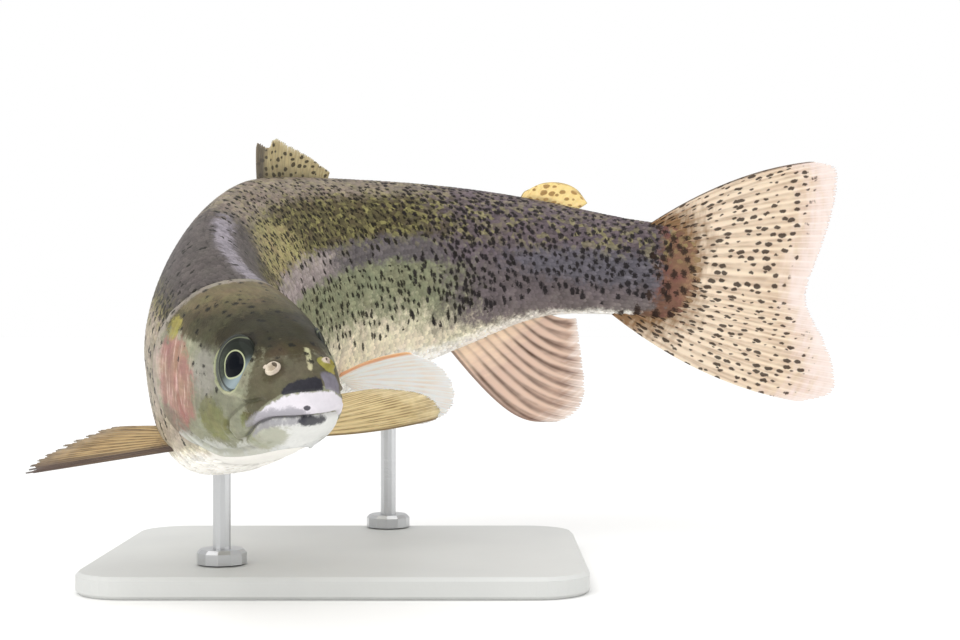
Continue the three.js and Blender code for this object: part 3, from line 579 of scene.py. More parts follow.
def set_attributes(piece, along, angle, left, up, **more):
    """Writes the markings and the pattern places of every point to the mesh."""
    flat, solid = pattern_places(along, angle, left, up)
    for name, values in {"flat": flat, "solid": solid}.items():
        made = piece.data.attributes.new(name, "FLOAT_VECTOR", "POINT")
        made.data.foreach_set("vector", np.ascontiguousarray(values, np.float32).ravel())
    for name, values in {**markings(along, angle, left, up), **more}.items():
        made = piece.data.attributes.new(name, "FLOAT", "POINT")
        made.data.foreach_set("value", np.ascontiguousarray(values, np.float32).ravel())


# The unwrap is a square: a margin, the head's share of its width, then the rest of the body's.
UNWRAP_MARGIN, UNWRAP_ROUND = 0.01, 0.98
HEAD_REACH, HEAD_SHARE = 66, 0.36
BODY_REACH, BODY_SHARE = 242, 0.61


def unwrap_across(along):
    """Place along the unwrap for a place along the body; the head has more room for its detail."""
    x = along * BODY_LENGTH
    on_head = UNWRAP_MARGIN + HEAD_SHARE * x / HEAD_REACH
    behind = UNWRAP_MARGIN + HEAD_SHARE + BODY_SHARE * (x - HEAD_REACH) / BODY_REACH
    return np.where(x < HEAD_REACH, on_head, behind)


row, column = np.meshgrid(np.arange(SKIN_ROWS - 1), np.arange(COLUMNS), indexing="ij")
beside = (column + 1) % COLUMNS
skin_quads = np.stack([row * COLUMNS + column, row * COLUMNS + beside,
                       (row + 1) * COLUMNS + beside, (row + 1) * COLUMNS + column], -1).reshape(-1, 4)
ring = np.arange(COLUMNS)
first_centre = SKIN_ROWS * COLUMNS
last_ring = (SKIN_ROWS - 1) * COLUMNS
snout_fan = np.stack([first_centre + 0 * ring, (ring + 1) % COLUMNS, ring], -1)
tail_fan = np.stack([first_centre + 1 + 0 * ring, last_ring + ring, last_ring + (ring + 1) % COLUMNS], -1)
skin_faces = skin_quads.tolist() + snout_fan.tolist() + tail_fan.tolist()
all_points = np.vstack([skin_points.reshape(-1, 3), skin_points[0].mean(0), skin_points[-1].mean(0)])
skin = mesh_object("trout_skin", all_points, skin_faces)


def with_centres(values):
    """Values of the skin's rings, with those of its two end centres after them."""
    return np.append(values.ravel(), [values[0].mean(), values[-1].mean()])


set_attributes(skin, *(with_centres(v) for v in (skin_along, skin_angle, skin_left, skin_up)),
               tone=np.zeros(len(all_points)), edge=np.zeros(len(all_points)))
across = unwrap_across(np.append(skin_along.ravel(), [0, BODY_STATIONS[-1][0]]))
corner_points = np.concatenate([skin_quads.ravel(), snout_fan.ravel(), tail_fan.ravel()])
quad_round = np.stack([column, column + 1, column + 1, column], -1).ravel()
snout_round = np.stack([ring + 0.5, ring + 1, ring], -1).ravel()
tail_round = np.stack([ring + 0.5, ring, ring + 1], -1).ravel()
around = UNWRAP_MARGIN + UNWRAP_ROUND * np.concatenate([quad_round, snout_round, tail_round]) / COLUMNS
unwrap = skin.data.uv_layers.new(name="OFBake")
unwrap.data.foreach_set("uv", np.stack([across[corner_points], around], -1).astype(np.float32).ravel())


# Colours from belly to back, then those of the head, each laid over the ones before it: the marking it
# follows, its colour, how ragged and how soft its edge is, and how fully it covers.
SKIN_COLOURS = [
    ("flank", "#d9d0b7", 0.5, 0.34, 1.0),
    ("green", "#7f8167", 0.6, 0.36, 1.0),
    ("upper", "#534c36", 0.6, 0.30, 1.0),
    ("shoulder", "#a19484", 0.6, 0.30, 0.85),
    ("gold", "#978b63", 0.7, 0.30, 0.8),
    ("band", "#5c555a", 0.8, 0.28, 0.9),
    ("band_pale", "#a39793", 0.8, 0.28, 0.75),
    ("back", "#85796e", 0.6, 0.30, 0.9),
    ("nape", "#4b4544", 0.6, 0.30, 0.9),
    ("stem", "#60555b", 0.6, 0.30, 0.9),
    ("stem_band", "#5f5d65", 0.7, 0.28, 0.75),
    # Painted highlight: the lilac sheen of reflected light on the back's left shoulder.
    ("painted_sheen", "#9f98a2", 1.2, 0.4, 0.6),
    ("root", "#795646", 0.8, 0.26, 0.95),
    ("root_end", "#9c7d60", 0.8, 0.30, 0.9),
    ("head", "#898973", 0.0, 0.30, 1.0),
    ("silver", "#8e8a81", 0.9, 0.28, 0.8),
    ("lime", "#737340", 1.0, 0.26, 0.8),
    ("cheek_dark", "#6a6a55", 1.0, 0.28, 0.4),
    ("salmon", "#9d7467", 0.9, 0.26, 0.9),
    ("cover_rear", "#7b6a5c", 0.9, 0.30, 0.75),
    ("crown", "#474029", 0.7, 0.28, 0.95),
    ("brow", "#43412f", 0.9, 0.30, 0.7),
    # Painted highlight on the crown's ridge near the crest.
    ("crown_highlight", "#716549", 1.0, 0.28, 0.75),
    ("forehead", "#231f10", 0.9, 0.30, 0.72),
    ("cover_pale", "#b7a99c", 1.0, 0.28, 0.6),
    ("snout", "#403622", 0.8, 0.30, 0.75),
    ("throat", "#d1d2d1", 0.8, 0.30, 0.95),
    # Painted highlight on the ridge at the head's rear edge.
    ("crest_highlight", "#968e87", 1.1, 0.32, 0.6),
    ("eye_ring", "#a9ad86", 0.5, 0.28, 0.7),
    # Painted shade over the upper rim of the eye socket.
    ("painted_eye_shade", "#1d1b15", 0.5, 0.30, 0.7),
    ("under_eye", "#aeae90", 0.7, 0.28, 0.5),
    ("maxilla", "#4c4c3a", 0.7, 0.30, 0.4),
    ("fold", "#7f7f71", 0.7, 0.30, 0.6),
    ("chin", "#dfdfdb", 0.7, 0.26, 0.97),
    ("jaw_grey", "#b4b4a2", 1.0, 0.30, 0.7),
    ("jaw_olive", "#9c9c81", 0.9, 0.34, 0.7),
    ("slate", "#24242f", 0.9, 0.24, 0.92),
    ("slate_pale", "#7d7988", 0.9, 0.28, 0.75),
    ("lip", "#dcd7dd", 0.7, 0.22, 1.0),
    # Painted shade along the mouth line.
    ("painted_lip_shade", "#918e95", 0.9, 0.28, 0.75),
    # Painted shade in the mouth slit.
    ("slit_shade", "#5b5a5c", 0.5, 0.30, 0.6),
    ("nostril_shade", "#3c3220", 0.9, 0.30, 0.6),
    ("yellow", "#9a9547", 1.0, 0.26, 0.85),
    ("streak", "#bbb691", 0.9, 0.28, 0.85),
    # Cream nostril tube and flap on the right; on the left, a painted highlight atop the nostril.
    ("cream_and_highlight", "#d2c3b2", 0.4, 0.22, 0.95),
    ("ink", "#2c2b35", 0.8, 0.26, 0.9),
    # Painted shade inside the nostril's opening.
    ("hole", "#3a2e22", 0.3, 0.20, 0.85),
]

# Spots of each kind: the marking they follow, spacing in millimetres, the share of places that have one,
# smallest and largest size as a share of the spacing, and colour.
SPOT_KINDS = [
    ("spots", (1.9, 2.8), 1.0, 0.14, 0.44, "#1a1710"),
    ("blotches", (2.3, 2.7), 1.0, 0.18, 0.46, "#1f1b1c"),
    ("head_spots", (2.7, 2.7), 1.0, 0.12, 0.34, "#131108"),
    ("root_spots", (3.4, 4.2), 0.95, 0.26, 0.40, "#2e211a"),
]


def paint_skin(tree):
    """Lays down the colours and spots; gives the colour, the clouds and the places for the relief."""
    solid = add(tree, "Attribute", attribute_name="solid").outputs["Vector"]
    flat = add(tree, "Attribute", attribute_name="flat").outputs["Vector"]
    # Clouds 3 mm across make the edges of the colours ragged.
    cloud = add(tree, "TexNoise", {"Vector": solid, "Scale": 0.36, "Detail": 6.0, "Roughness": 0.74})
    cloud = cloud.outputs["Fac"]
    ragged = add(tree, "MapRange", {"Value": cloud, "From Min": 0.3, "From Max": 0.7, "To Min": -0.5,
                                    "To Max": 0.5}).outputs["Result"]
    belly = {0: cloud, 6: linear("#f0ece3"), 7: linear("#faf8f3")}
    colour = add(tree, "Mix", belly, data_type="RGBA").outputs[2]
    for name, tint, raggedness, softness, cover in SKIN_COLOURS:
        marked = add(tree, "Attribute", attribute_name=name).outputs["Fac"]
        low = {0: ragged, 1: raggedness, 2: 0.5 - softness}
        low = add(tree, "Math", low, operation="MULTIPLY_ADD").outputs[0]
        low = add(tree, "Math", {0: low, 1: 0.02}, operation="MAXIMUM").outputs[0]
        high = add(tree, "Math", {0: low, 1: 2 * softness}, operation="ADD").outputs[0]
        span = {"Value": marked, "From Min": low, "From Max": high, "To Max": cover}
        mask = add(tree, "MapRange", span, interpolation_type="SMOOTHSTEP").outputs["Result"]
        colour = add(tree, "Mix", {0: mask, 6: colour, 7: linear(tint)}, data_type="RGBA").outputs[2]
    # Streaks down the gill covers, 1.2 mm apart.
    salmon = add(tree, "Attribute", attribute_name="salmon").outputs["Fac"]
    upright = {"Vector": solid, "Rotation": (0, 0.2, 0), "Scale": (0.8, 0.4, 0.13)}
    upright = add(tree, "Mapping", upright).outputs["Vector"]
    streak = add(tree, "TexNoise", {"Vector": upright, "Scale": 1.0, "Detail": 4.0, "Roughness": 0.6})
    streak = streak.outputs["Fac"]
    pale = add(tree, "MapRange", {"Value": streak, "From Min": 0.52, "From Max": 0.72, "To Max": 0.75})
    pale = add(tree, "Math", {0: pale.outputs["Result"], 1: salmon}, operation="MULTIPLY").outputs[0]
    colour = add(tree, "Mix", {0: pale, 6: colour, 7: linear("#d9bcb0")}, data_type="RGBA").outputs[2]
    dark = add(tree, "MapRange", {"Value": streak, "From Min": 0.47, "From Max": 0.32, "To Max": 0.7})
    dark = add(tree, "Math", {0: dark.outputs["Result"], 1: salmon}, operation="MULTIPLY").outputs[0]
    colour = add(tree, "Mix", {0: dark, 6: colour, 7: linear("#8a6f63")}, data_type="RGBA").outputs[2]
    # Mottling in lighter and darker clouds 6 mm and 1 mm across, and fine grain along the body.
    mottle = add(tree, "TexNoise", {"Vector": solid, "Scale": 0.16, "Detail": 6.0, "Roughness": 0.75})
    mottle = mottle.outputs["Fac"]
    mottle = add(tree, "MapRange", {"Value": mottle, "From Min": 0.3, "From Max": 0.7, "To Min": 0.76,
                                    "To Max": 1.24}).outputs["Result"]
    lengthways = add(tree, "Mapping", {"Vector": solid, "Scale": (0.16, 1.0, 1.0)}).outputs["Vector"]
    grain = add(tree, "TexNoise", {"Vector": lengthways, "Scale": 1.0, "Detail": 3.0}).outputs["Fac"]
    shade = add(tree, "MapRange", {"Value": grain, "From Min": 0.3, "From Max": 0.7, "To Min": 0.90,
                                   "To Max": 1.10}).outputs["Result"]
    strength = add(tree, "Attribute", attribute_name="mottle").outputs["Fac"]
    shade = add(tree, "Math", {0: shade, 1: mottle}, operation="MULTIPLY").outputs[0]
    shade = add(tree, "Mix", {0: strength, 2: 1.0, 3: shade}).outputs[0]
    hue = add(tree, "TexNoise", {"Vector": solid, "Scale": 0.22, "Detail": 3.0}).outputs["Fac"]
    hue = add(tree, "MapRange", {"Value": hue, "From Min": 0.3, "From Max": 0.7, "To Min": 0.48,
                                 "To Max": 0.52})
    colour = add(tree, "HueSaturation", {"Hue": hue.outputs["Result"], "Value": shade, "Color": colour})
    colour = colour.outputs["Color"]
    # Yellow-green flecks on single scales, 1.5 mm apart, between the spots of the back.
    flecked = add(tree, "Attribute", attribute_name="flecks").outputs["Fac"]
    single = add(tree, "TexVoronoi", {"Vector": flat, "Scale": 0.65}, voronoi_dimensions="2D")
    chance = add(tree, "SeparateColor", {"Color": single.outputs["Color"]}).outputs["Red"]
    fleck = add(tree, "MapRange", {"Value": chance, "From Min": 0.50, "From Max": 0.95, "To Max": 0.52})
    fleck = add(tree, "Math", {0: fleck.outputs["Result"], 1: flecked}, operation="MULTIPLY").outputs[0]
    colour = add(tree, "Mix", {0: fleck, 6: colour, 7: linear("#a09a62")}, data_type="RGBA").outputs[2]
    # Spots: at most one to a cell, with a ragged edge; behind the head each is moved by up to 1.5 mm.
    wander = add(tree, "TexNoise", {"Vector": flat, "Scale": 0.9, "Detail": 3.0, "Roughness": 0.7})
    moved = {0: wander.outputs["Color"], 1: (1.5, 1.5, 0.0), 2: flat}
    moved = add(tree, "VectorMath", moved, operation="MULTIPLY_ADD").outputs[0]
    fuzz = add(tree, "TexNoise", {"Vector": solid, "Scale": 1.5, "Detail": 4.0, "Roughness": 0.8})
    fuzz = {"Value": fuzz.outputs["Fac"], "From Min": 0.3, "From Max": 0.7, "To Min": -0.2, "To Max": 0.2}
    fuzz = add(tree, "MapRange", fuzz).outputs["Result"]
    for name, pitch, share, small, large, tint in SPOT_KINDS:
        marked = add(tree, "Attribute", attribute_name=name).outputs["Fac"]
        scale = (1 / pitch[0], 1 / pitch[1], 1 / pitch[1])
        on_head = name == "head_spots"
        places = solid if on_head else moved
        cells = add(tree, "Mapping", {"Vector": places, "Scale": scale}).outputs["Vector"]
        cell = add(tree, "TexVoronoi", {"Vector": cells, "Scale": 1.0, "Randomness": 0.9},
                   voronoi_dimensions="3D" if on_head else "2D")
        chance = add(tree, "SeparateColor", {"Color": cell.outputs["Color"]}).outputs["Green"]
        least = add(tree, "Math", {0: marked, 1: -share, 2: 1.0}, operation="MULTIPLY_ADD").outputs[0]
        there = add(tree, "Math", {0: chance, 1: least}, operation="GREATER_THAN").outputs[0]
        size = {"Value": chance, "From Min": 1 - share, "To Min": small, "To Max": large}
        size = add(tree, "MapRange", size).outputs["Result"]
        inner = add(tree, "Math", {0: size, 1: 0.15}, operation="SUBTRACT").outputs[0]
        outer = add(tree, "Math", {0: size, 1: 0.09}, operation="ADD").outputs[0]
        away = add(tree, "Math", {0: cell.outputs["Distance"], 1: fuzz}, operation="ADD").outputs[0]
        round_spot = {"Value": away, "From Min": outer, "From Max": inner}
        spot = add(tree, "MapRange", round_spot, interpolation_type="SMOOTHSTEP").outputs["Result"]
        cover = add(tree, "Math", {0: there, 1: 0.93}, operation="MULTIPLY").outputs[0]
        spot = add(tree, "Math", {0: spot, 1: cover}, operation="MULTIPLY").outputs[0]
        colour = add(tree, "Mix", {0: spot, 6: colour, 7: linear(tint)}, data_type="RGBA").outputs[2]
    return colour, cloud, solid


# Wet fish skin: clear mucus over it gives a tight, even gloss; fine pores break it on the head.
skin_finish, skin_out = new_material("wet_fish_skin")
tree = skin_finish.node_tree
colour, cloud, solid = paint_skin(tree)
# Pores and wrinkles 0.5 mm apart.
pores = add(tree, "TexNoise", {"Vector": solid, "Scale": 1.9, "Detail": 3.0}).outputs["Fac"]
pore_bump = add(tree, "Bump", {"Height": pores, "Strength": 0.5, "Distance": 0.00012}).outputs["Normal"]
skin_gloss = add(tree, "MapRange", {"Value": cloud, "To Min": 0.36, "To Max": 0.52}).outputs["Result"]
skin_shader = add(tree, "BsdfPrincipled", {
    "Base Color": colour, "Roughness": skin_gloss, "Normal": pore_bump, "Specular IOR Level": 0.12,
    "Coat Weight": 0.04, "Coat Roughness": 0.12})
tree.links.new(skin_shader.outputs[0], skin_out.inputs["Surface"])
skin.data.materials.append(skin_finish)
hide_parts("head", "lower_jaw", "gill_cover_left", "gill_cover_right", "trunk_front",
            "trunk_middle", "trunk_rear", "tail_stem")
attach(skin, "root")

# ---- Scales ----
# Small round scales of clear bone that grow from pockets in the skin and lie like roof tiles, tailwards,
# in straight rows along each side. Each is a thin closed plate, raised a little at its free edge.

SCALE_PITCH, SCALE_ROW = 1.7, 1.36
SCALE_LENGTH, SCALE_WIDTH = 3.0, 1.75
SCALE_POINTS = 9
FIRST_SCALE, FIRST_BACK_SCALE, LAST_SCALE = 38.0, 42, 0.985
SCALE_LINES = 44
PATCH_ACROSS = 0.003
scatter = np.random.default_rng(7)

# The angle of each place at a distance round the body from the side, for one half of the body.
table_along = np.linspace(0.13, BODY_STATIONS[-1][0], 240)
table_angle = np.linspace(-math.pi / 2, math.pi / 2, 361)
table_left, table_up = section(table_along[:, None], table_angle[None, :])
table_arc = np.cumsum(np.hypot(np.diff(table_left, axis=1, prepend=table_left[:, :1]),
                               np.diff(table_up, axis=1, prepend=table_up[:, :1])), axis=1)
table_arc -= table_arc[:, 180:181]
ARC_REACH, ARC_STEPS = 60, 480
even_arc = np.linspace(-ARC_REACH, ARC_REACH, ARC_STEPS + 1)
angle_table = np.array([np.interp(even_arc, arcs, table_angle) for arcs in table_arc])


def angle_at(along, arc):
    """The angle round the left side for distances round the body from its middle."""
    i = np.clip((along - table_along[0]) / (table_along[1] - table_along[0]), 0, len(table_along) - 1.001)
    j = np.clip((arc + ARC_REACH) * (ARC_STEPS / (2 * ARC_REACH)), 0, ARC_STEPS - 0.001)
    i0, j0 = i.astype(int), j.astype(int)
    u, v = i - i0, j - j0
    low = angle_table[i0, j0] * (1 - v) + angle_table[i0, j0 + 1] * v
    high = angle_table[i0 + 1, j0] * (1 - v) + angle_table[i0 + 1, j0 + 1] * v
    return low * (1 - u) + high * u


def scale_roots(side):
    """Places of the scales of one side: along the body, distance round it, and a random turn."""
    places = []
    for line in range(-SCALE_LINES, SCALE_LINES + 1):
        arc = (line + 0.5) * SCALE_ROW
        x = np.arange(FIRST_SCALE, 1.018 * BODY_LENGTH, SCALE_PITCH) + (line % 2) * SCALE_PITCH / 2
        x = x + scatter.uniform(-0.14, 0.14, len(x))
        along = x / BODY_LENGTH
        top = np.interp(along, table_along, table_arc[:, -1])
        bottom = np.interp(along, table_along, table_arc[:, 0])
        angle = angle_at(along, np.full(len(x), arc))
        behind = x - head_end_at(angle) * BODY_LENGTH
        uneven_end = along + scatter.uniform(-0.012, 0.012, len(x))
        scaly = (behind > 1.6) & (x > FIRST_BACK_SCALE) & (uneven_end < LAST_SCALE)
        keep = (arc < top + 0.2) & (arc > bottom - 0.2) & scaly
        turned = scatter.uniform(-0.09, 0.09, len(x))
        places.append(np.stack([along, np.full(len(x), arc), turned], -1)[keep])
    return np.vstack(places)


turn = np.linspace(0, 2 * math.pi, SCALE_POINTS, endpoint=False)
outline_t = SCALE_LENGTH * (0.5 * np.cos(turn) + 0.05)
outline_w = 0.5 * SCALE_WIDTH * np.sin(turn) * (1 - 0.18 * np.cos(turn))
plate_t = np.append(outline_t, [0.1, 0.1])
plate_w = np.append(outline_w, [0.0, 0.0])
plate_bulge = np.append(np.zeros(SCALE_POINTS), [0.09, -0.02])
plate_lift = -0.40 + 0.30 * (plate_t / SCALE_LENGTH + 0.45) + plate_bulge
plate_edge = np.append(rise(np.cos(turn), 0.0, 0.8), [0.0, 0.0])
outline = np.arange(SCALE_POINTS)
next_one = (outline + 1) % SCALE_POINTS
plate_faces = np.vstack([np.stack([outline, next_one, 0 * outline + SCALE_POINTS], -1),
                         np.stack([next_one, outline, 0 * outline + SCALE_POINTS + 1], -1)])


def scale_coat(name, side, roots):
    """One side's scales joined in one piece, laid over the plain body."""
    count, points = len(roots), SCALE_POINTS + 2
    along, arc, twist = (roots[:, k:k + 1] for k in range(3))
    shrink = 1 - 0.12 * rise(along, 0.8, 1.0)
    t = shrink * (plate_t * np.cos(twist) - plate_w * np.sin(twist))
    w = shrink * (plate_t * np.sin(twist) + plate_w * np.cos(twist))
    place = along + t / BODY_LENGTH
    half_angle = angle_at(place, arc + w)
    angle = half_angle if side > 0 else math.pi - half_angle
    left, up = section(place, angle)
    here = fish_point(place, left, up)
    ahead = fish_point(place + 0.001, *section(place + 0.001, angle)) - here
    beside_left, beside_up = section(place, angle + 0.004)
    sideways = fish_point(place, beside_left, beside_up) - here
    outward = np.cross(ahead, sideways)
    outward /= np.linalg.norm(outward, axis=-1, keepdims=True)
    lift = plate_lift + scatter.uniform(-0.03, 0.03, (count, 1))
    vertices = here + outward * lift[..., None]
    first = points * np.arange(count)[:, None, None]
    order = plate_faces if side > 0 else plate_faces[:, ::-1]
    faces = (first + order[None]).reshape(-1, 3)
    coat = mesh_object(name, vertices.reshape(-1, 3), faces.tolist())
    ends = np.zeros(2 * len(coat.data.edges), np.int32)
    coat.data.edges.foreach_get("vertices", ends)
    rim = (ends.reshape(-1, 2) % points < SCALE_POINTS).all(axis=1)
    sharp = coat.data.attributes.new("sharp_edge", "BOOLEAN", "EDGE")
    sharp.data.foreach_set("value", rim)
    tone = np.repeat(scatter.uniform(-1, 1, (count, 1)), points, 1)
    set_attributes(coat, place.ravel(), np.broadcast_to(angle, place.shape).ravel(), left.ravel(),
                   up.ravel(), tone=tone.ravel(), edge=np.tile(plate_edge, count))
    # Each scale is a small patch on the skin's unwrap, at its root.
    root_angle = half_angle[:, -1] if side > 0 else math.pi - half_angle[:, -1]
    root_u = unwrap_across(along[:, 0])
    root_v = UNWRAP_MARGIN + UNWRAP_ROUND * ((root_angle + math.pi / 2) % (2 * math.pi)) / (2 * math.pi)
    spread = np.stack([plate_t / SCALE_LENGTH, plate_w / SCALE_WIDTH], -1) * PATCH_ACROSS
    at_point = (np.stack([root_u, root_v], -1)[:, None, :] + spread[None]).reshape(-1, 2)
    unwrap = coat.data.uv_layers.new(name="OFBake")
    unwrap.data.foreach_set("uv", at_point[faces.ravel()].astype(np.float32).ravel())
    return coat


# Scales over silvery skin: a clear hard plate whose guanine backing shines like dull metal, more on the
# flanks than on the dark back.
scale_finish, scale_out = new_material("silvery_fish_scale")
tree = scale_finish.node_tree
colour, cloud, solid = paint_skin(tree)
tone = add(tree, "Attribute", attribute_name="tone").outputs["Fac"]
edge = add(tree, "Attribute", attribute_name="edge").outputs["Fac"]
value = add(tree, "Math", {0: edge, 1: 0.18, 2: 1.0}, operation="MULTIPLY_ADD").outputs[0]
value = add(tree, "Math", {0: tone, 1: 0.22, 2: value}, operation="MULTIPLY_ADD").outputs[0]
colour = add(tree, "HueSaturation", {"Value": value, "Color": colour}).outputs["Color"]
flank = add(tree, "Attribute", attribute_name="upper").outputs["Fac"]
silver = add(tree, "MapRange", {"Value": flank, "To Min": 0.12, "To Max": 0.03}).outputs["Result"]
scale_gloss = add(tree, "MapRange", {"Value": cloud, "To Min": 0.34, "To Max": 0.5}).outputs["Result"]
# Growth rings are finer than 0.05 mm; they are drawn 0.25 mm apart so that they show.
growth = add(tree, "TexNoise", {"Vector": solid, "Scale": 4.0, "Detail": 1.0}).outputs["Fac"]
growth_bump = add(tree, "Bump", {"Height": growth, "Strength": 0.3, "Distance": 0.00005}).outputs["Normal"]
scale_shader = add(tree, "BsdfPrincipled", {
    "Base Color": colour, "Metallic": silver, "Roughness": scale_gloss, "Normal": growth_bump,
    "Specular IOR Level": 0.12})
tree.links.new(scale_shader.outputs[0], scale_out.inputs["Surface"])
for name, side in (("scales_left", 1), ("scales_right", -1)):
    coat = scale_coat(name, side, scale_roots(side))
    coat.data.materials.append(scale_finish)
    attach(coat, "root")

# ---- Eyes ----
# Each eye is one shallow dome: a large blue-black pupil, drawn out to a point below, a thin silvery ring
# and a dark iris, all under a clear, wet cornea.

EYE_RADIUS, EYE_DEPTH = 7.2, 3.0
EYE_FORWARD, EYE_UPWARD = 18, 12
LEFT_EYE_SUNK, LENS_BULGE = 1.2, 0.18
PUPIL_RADIUS, PUPIL_FORWARD, PUPIL_UP = 2.9, 2.2, 0.5
PUPIL_POINT, PUPIL_DRAWN_OUT = -80, 0.75
eye_along = EYE_PLACE / BODY_LENGTH

eyeball, eyeball_out = new_material("wet_eye_cornea")
tree = eyeball.node_tree
gaze = add(tree, "Attribute", attribute_name="gaze").outputs["Vector"]
from_pupil = add(tree, "Attribute", attribute_name="from_pupil").outputs["Fac"]
places = add(tree, "SeparateXYZ", {"Vector": gaze}).outputs
fibre = add(tree, "TexNoise", {"Vector": gaze, "Scale": 1.6, "Detail": 4.0}).outputs["Fac"]
fibre_colours = {0: fibre, 6: linear("#191d17"), 7: linear("#4b5245")}
iris = add(tree, "Mix", fibre_colours, data_type="RGBA").outputs[2]
low_front = add(tree, "Math", {0: places["X"], 1: places["Y"]}, operation="SUBTRACT").outputs[0]
front = add(tree, "MapRange", {"Value": low_front, "From Min": 2.0, "From Max": 6.5, "To Max": 0.9})
iris = add(tree, "Mix", {0: front.outputs[0], 6: iris, 7: linear("#9aa9ae")}, data_type="RGBA").outputs[2]
# Painted shade: the upper part of the iris is darkened, as under the rim of the socket.
above = add(tree, "MapRange", {"Value": places["Y"], "From Min": 1.0, "From Max": 4.0, "To Max": 0.92})
iris = add(tree, "Mix", {0: above.outputs[0], 6: iris, 7: linear("#20241f")}, data_type="RGBA").outputs[2]
# Rings round the pupil: where each starts, its width, colour and cover.
EYE_RINGS = [(0.0, 0.35, "#bcc19a", 0.85), (2.3, 0.8, "#151812", 0.7), (3.2, 0.3, "#83886c", 0.5)]
for start, width, tint, cover in EYE_RINGS:
    away = add(tree, "Math", {0: from_pupil, 1: start + width / 2}, operation="SUBTRACT").outputs[0]
    away = add(tree, "Math", {0: away}, operation="ABSOLUTE").outputs[0]
    ring_span = {"Value": away, "From Min": width / 2 + 0.12, "From Max": width / 2 - 0.12, "To Max": cover}
    share = add(tree, "MapRange", ring_span, interpolation_type="SMOOTHSTEP").outputs["Result"]
    iris = add(tree, "Mix", {0: share, 6: iris, 7: linear(tint)}, data_type="RGBA").outputs[2]
pupil = add(tree, "MapRange", {"Value": from_pupil, "From Min": 0.08, "From Max": -0.08})
pupil = pupil.outputs["Result"]
iris = add(tree, "Mix", {0: pupil, 6: iris, 7: linear("#02060f")}, data_type="RGBA").outputs[2]
eye_shader = add(tree, "BsdfPrincipled", {
    "Base Color": iris, "Roughness": 0.3, "Specular IOR Level": 0.05, "Coat Weight": 0.12,
    "Coat Roughness": 0.03})
tree.links.new(eye_shader.outputs[0], eyeball_out.inputs["Surface"])

for side, name in ((1, "left"), (-1, "right")):
    tail, left, up = spine_axes(np.array(eye_along))
    forward, upward = (math.tan(math.radians(angle)) for angle in (EYE_FORWARD, EYE_UPWARD))
    look = side * left - tail * forward + up * upward
    look /= np.linalg.norm(look)
    ahead = -tail + look * np.dot(look, tail)
    ahead /= np.linalg.norm(ahead)
    over = np.cross(look, ahead) * (1 if np.dot(np.cross(look, ahead), up) > 0 else -1)
    shift = LEFT_EYE_SHIFT / BODY_LENGTH if side > 0 else 0.0
    centre = fish_point(eye_along + shift, side * EYE_LEFT, EYE_UP)
    rings, spokes = 64, 72
    lean = np.linspace(0, math.pi, rings + 1)[1:-1, None]
    spoke = np.linspace(0, 2 * math.pi, spokes, endpoint=False)[None, :]
    radius = EYE_RADIUS * np.sin(lean) + 0 * spoke
    depth = EYE_DEPTH if side < 0 else EYE_DEPTH - LEFT_EYE_SUNK
    height = depth * np.cos(lean) + 0 * spoke
    px, py = radius * np.cos(spoke), radius * np.sin(spoke)
    # The pupil reaches further down and forwards; the lens bulges a little through it.
    point_away = np.angle(np.exp(1j * (spoke - math.radians(PUPIL_POINT)))) + 0 * lean
    pupil_edge = PUPIL_RADIUS + PUPIL_DRAWN_OUT * np.exp(-((point_away / 0.5) ** 2))
    from_edge = np.where(height > 0, np.hypot(px - PUPIL_FORWARD, py - PUPIL_UP) - pupil_edge, 9.0)
    height = height + LENS_BULGE * rise(from_edge, 0.0, -1.6) - 0.12 * hump(from_edge, 0.35)
    points = centre + px[..., None] * ahead + py[..., None] * over + height[..., None] * look
    count = (rings - 1) * spokes
    ends = [centre + look * (depth + LENS_BULGE), centre - look * depth]
    r, c = np.meshgrid(np.arange(rings - 2), np.arange(spokes), indexing="ij")
    quads = np.stack([r * spokes + c, r * spokes + (c + 1) % spokes,
                      (r + 1) * spokes + (c + 1) % spokes, (r + 1) * spokes + c], -1).reshape(-1, 4)
    around_eye = np.arange(spokes)
    front_fan = np.stack([count + 0 * around_eye, (around_eye + 1) % spokes, around_eye], -1)
    rear = (rings - 2) * spokes
    rear_fan = np.stack([count + 1 + 0 * around_eye, rear + around_eye,
                         rear + (around_eye + 1) % spokes], -1)
    eye = mesh_object("eye_of_" + name + "_side", np.vstack([points.reshape(-1, 3), ends]),
                      quads.tolist() + front_fan.tolist() + rear_fan.tolist())
    gaze_at = np.vstack([np.stack([px, py, height], -1).reshape(-1, 3), [(0, 0, depth), (0, 0, -depth)]])
    made = eye.data.attributes.new("gaze", "FLOAT_VECTOR", "POINT")
    made.data.foreach_set("vector", gaze_at.astype(np.float32).ravel())
    made = eye.data.attributes.new("from_pupil", "FLOAT", "POINT")
    made.data.foreach_set("value", np.append(from_edge.ravel(), [-3.0, 9.0]).astype(np.float32))
    eye.data.materials.append(eyeball)
    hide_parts("eye_" + name)
    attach(eye, "root")

# ---- Fins ----
# Each fin is a fan of bony rays that split towards the edge, with a thin clear membrane between them. The
# rays stiffen it and stand up as ridges on both faces; the outer edge is frayed between them.

FIN_SPLIT_FIRST, FIN_SPLIT_SECOND = 0.38, 0.68


def fin_rays(across, out, rays):
    """How far each place is part of a ray, 0..1; every ray splits into two and then into four."""
    place = (across * rays) % 1.0 - 0.5
    first = 0.24 * rise(out, FIN_SPLIT_FIRST - 0.12, FIN_SPLIT_FIRST + 0.35)
    second = 0.11 * rise(out, FIN_SPLIT_SECOND - 0.08, FIN_SPLIT_SECOND + 0.25)
    away = np.abs(np.abs(np.abs(place) - first) - second)
    return hump(away, 0.16 - 0.08 * out)


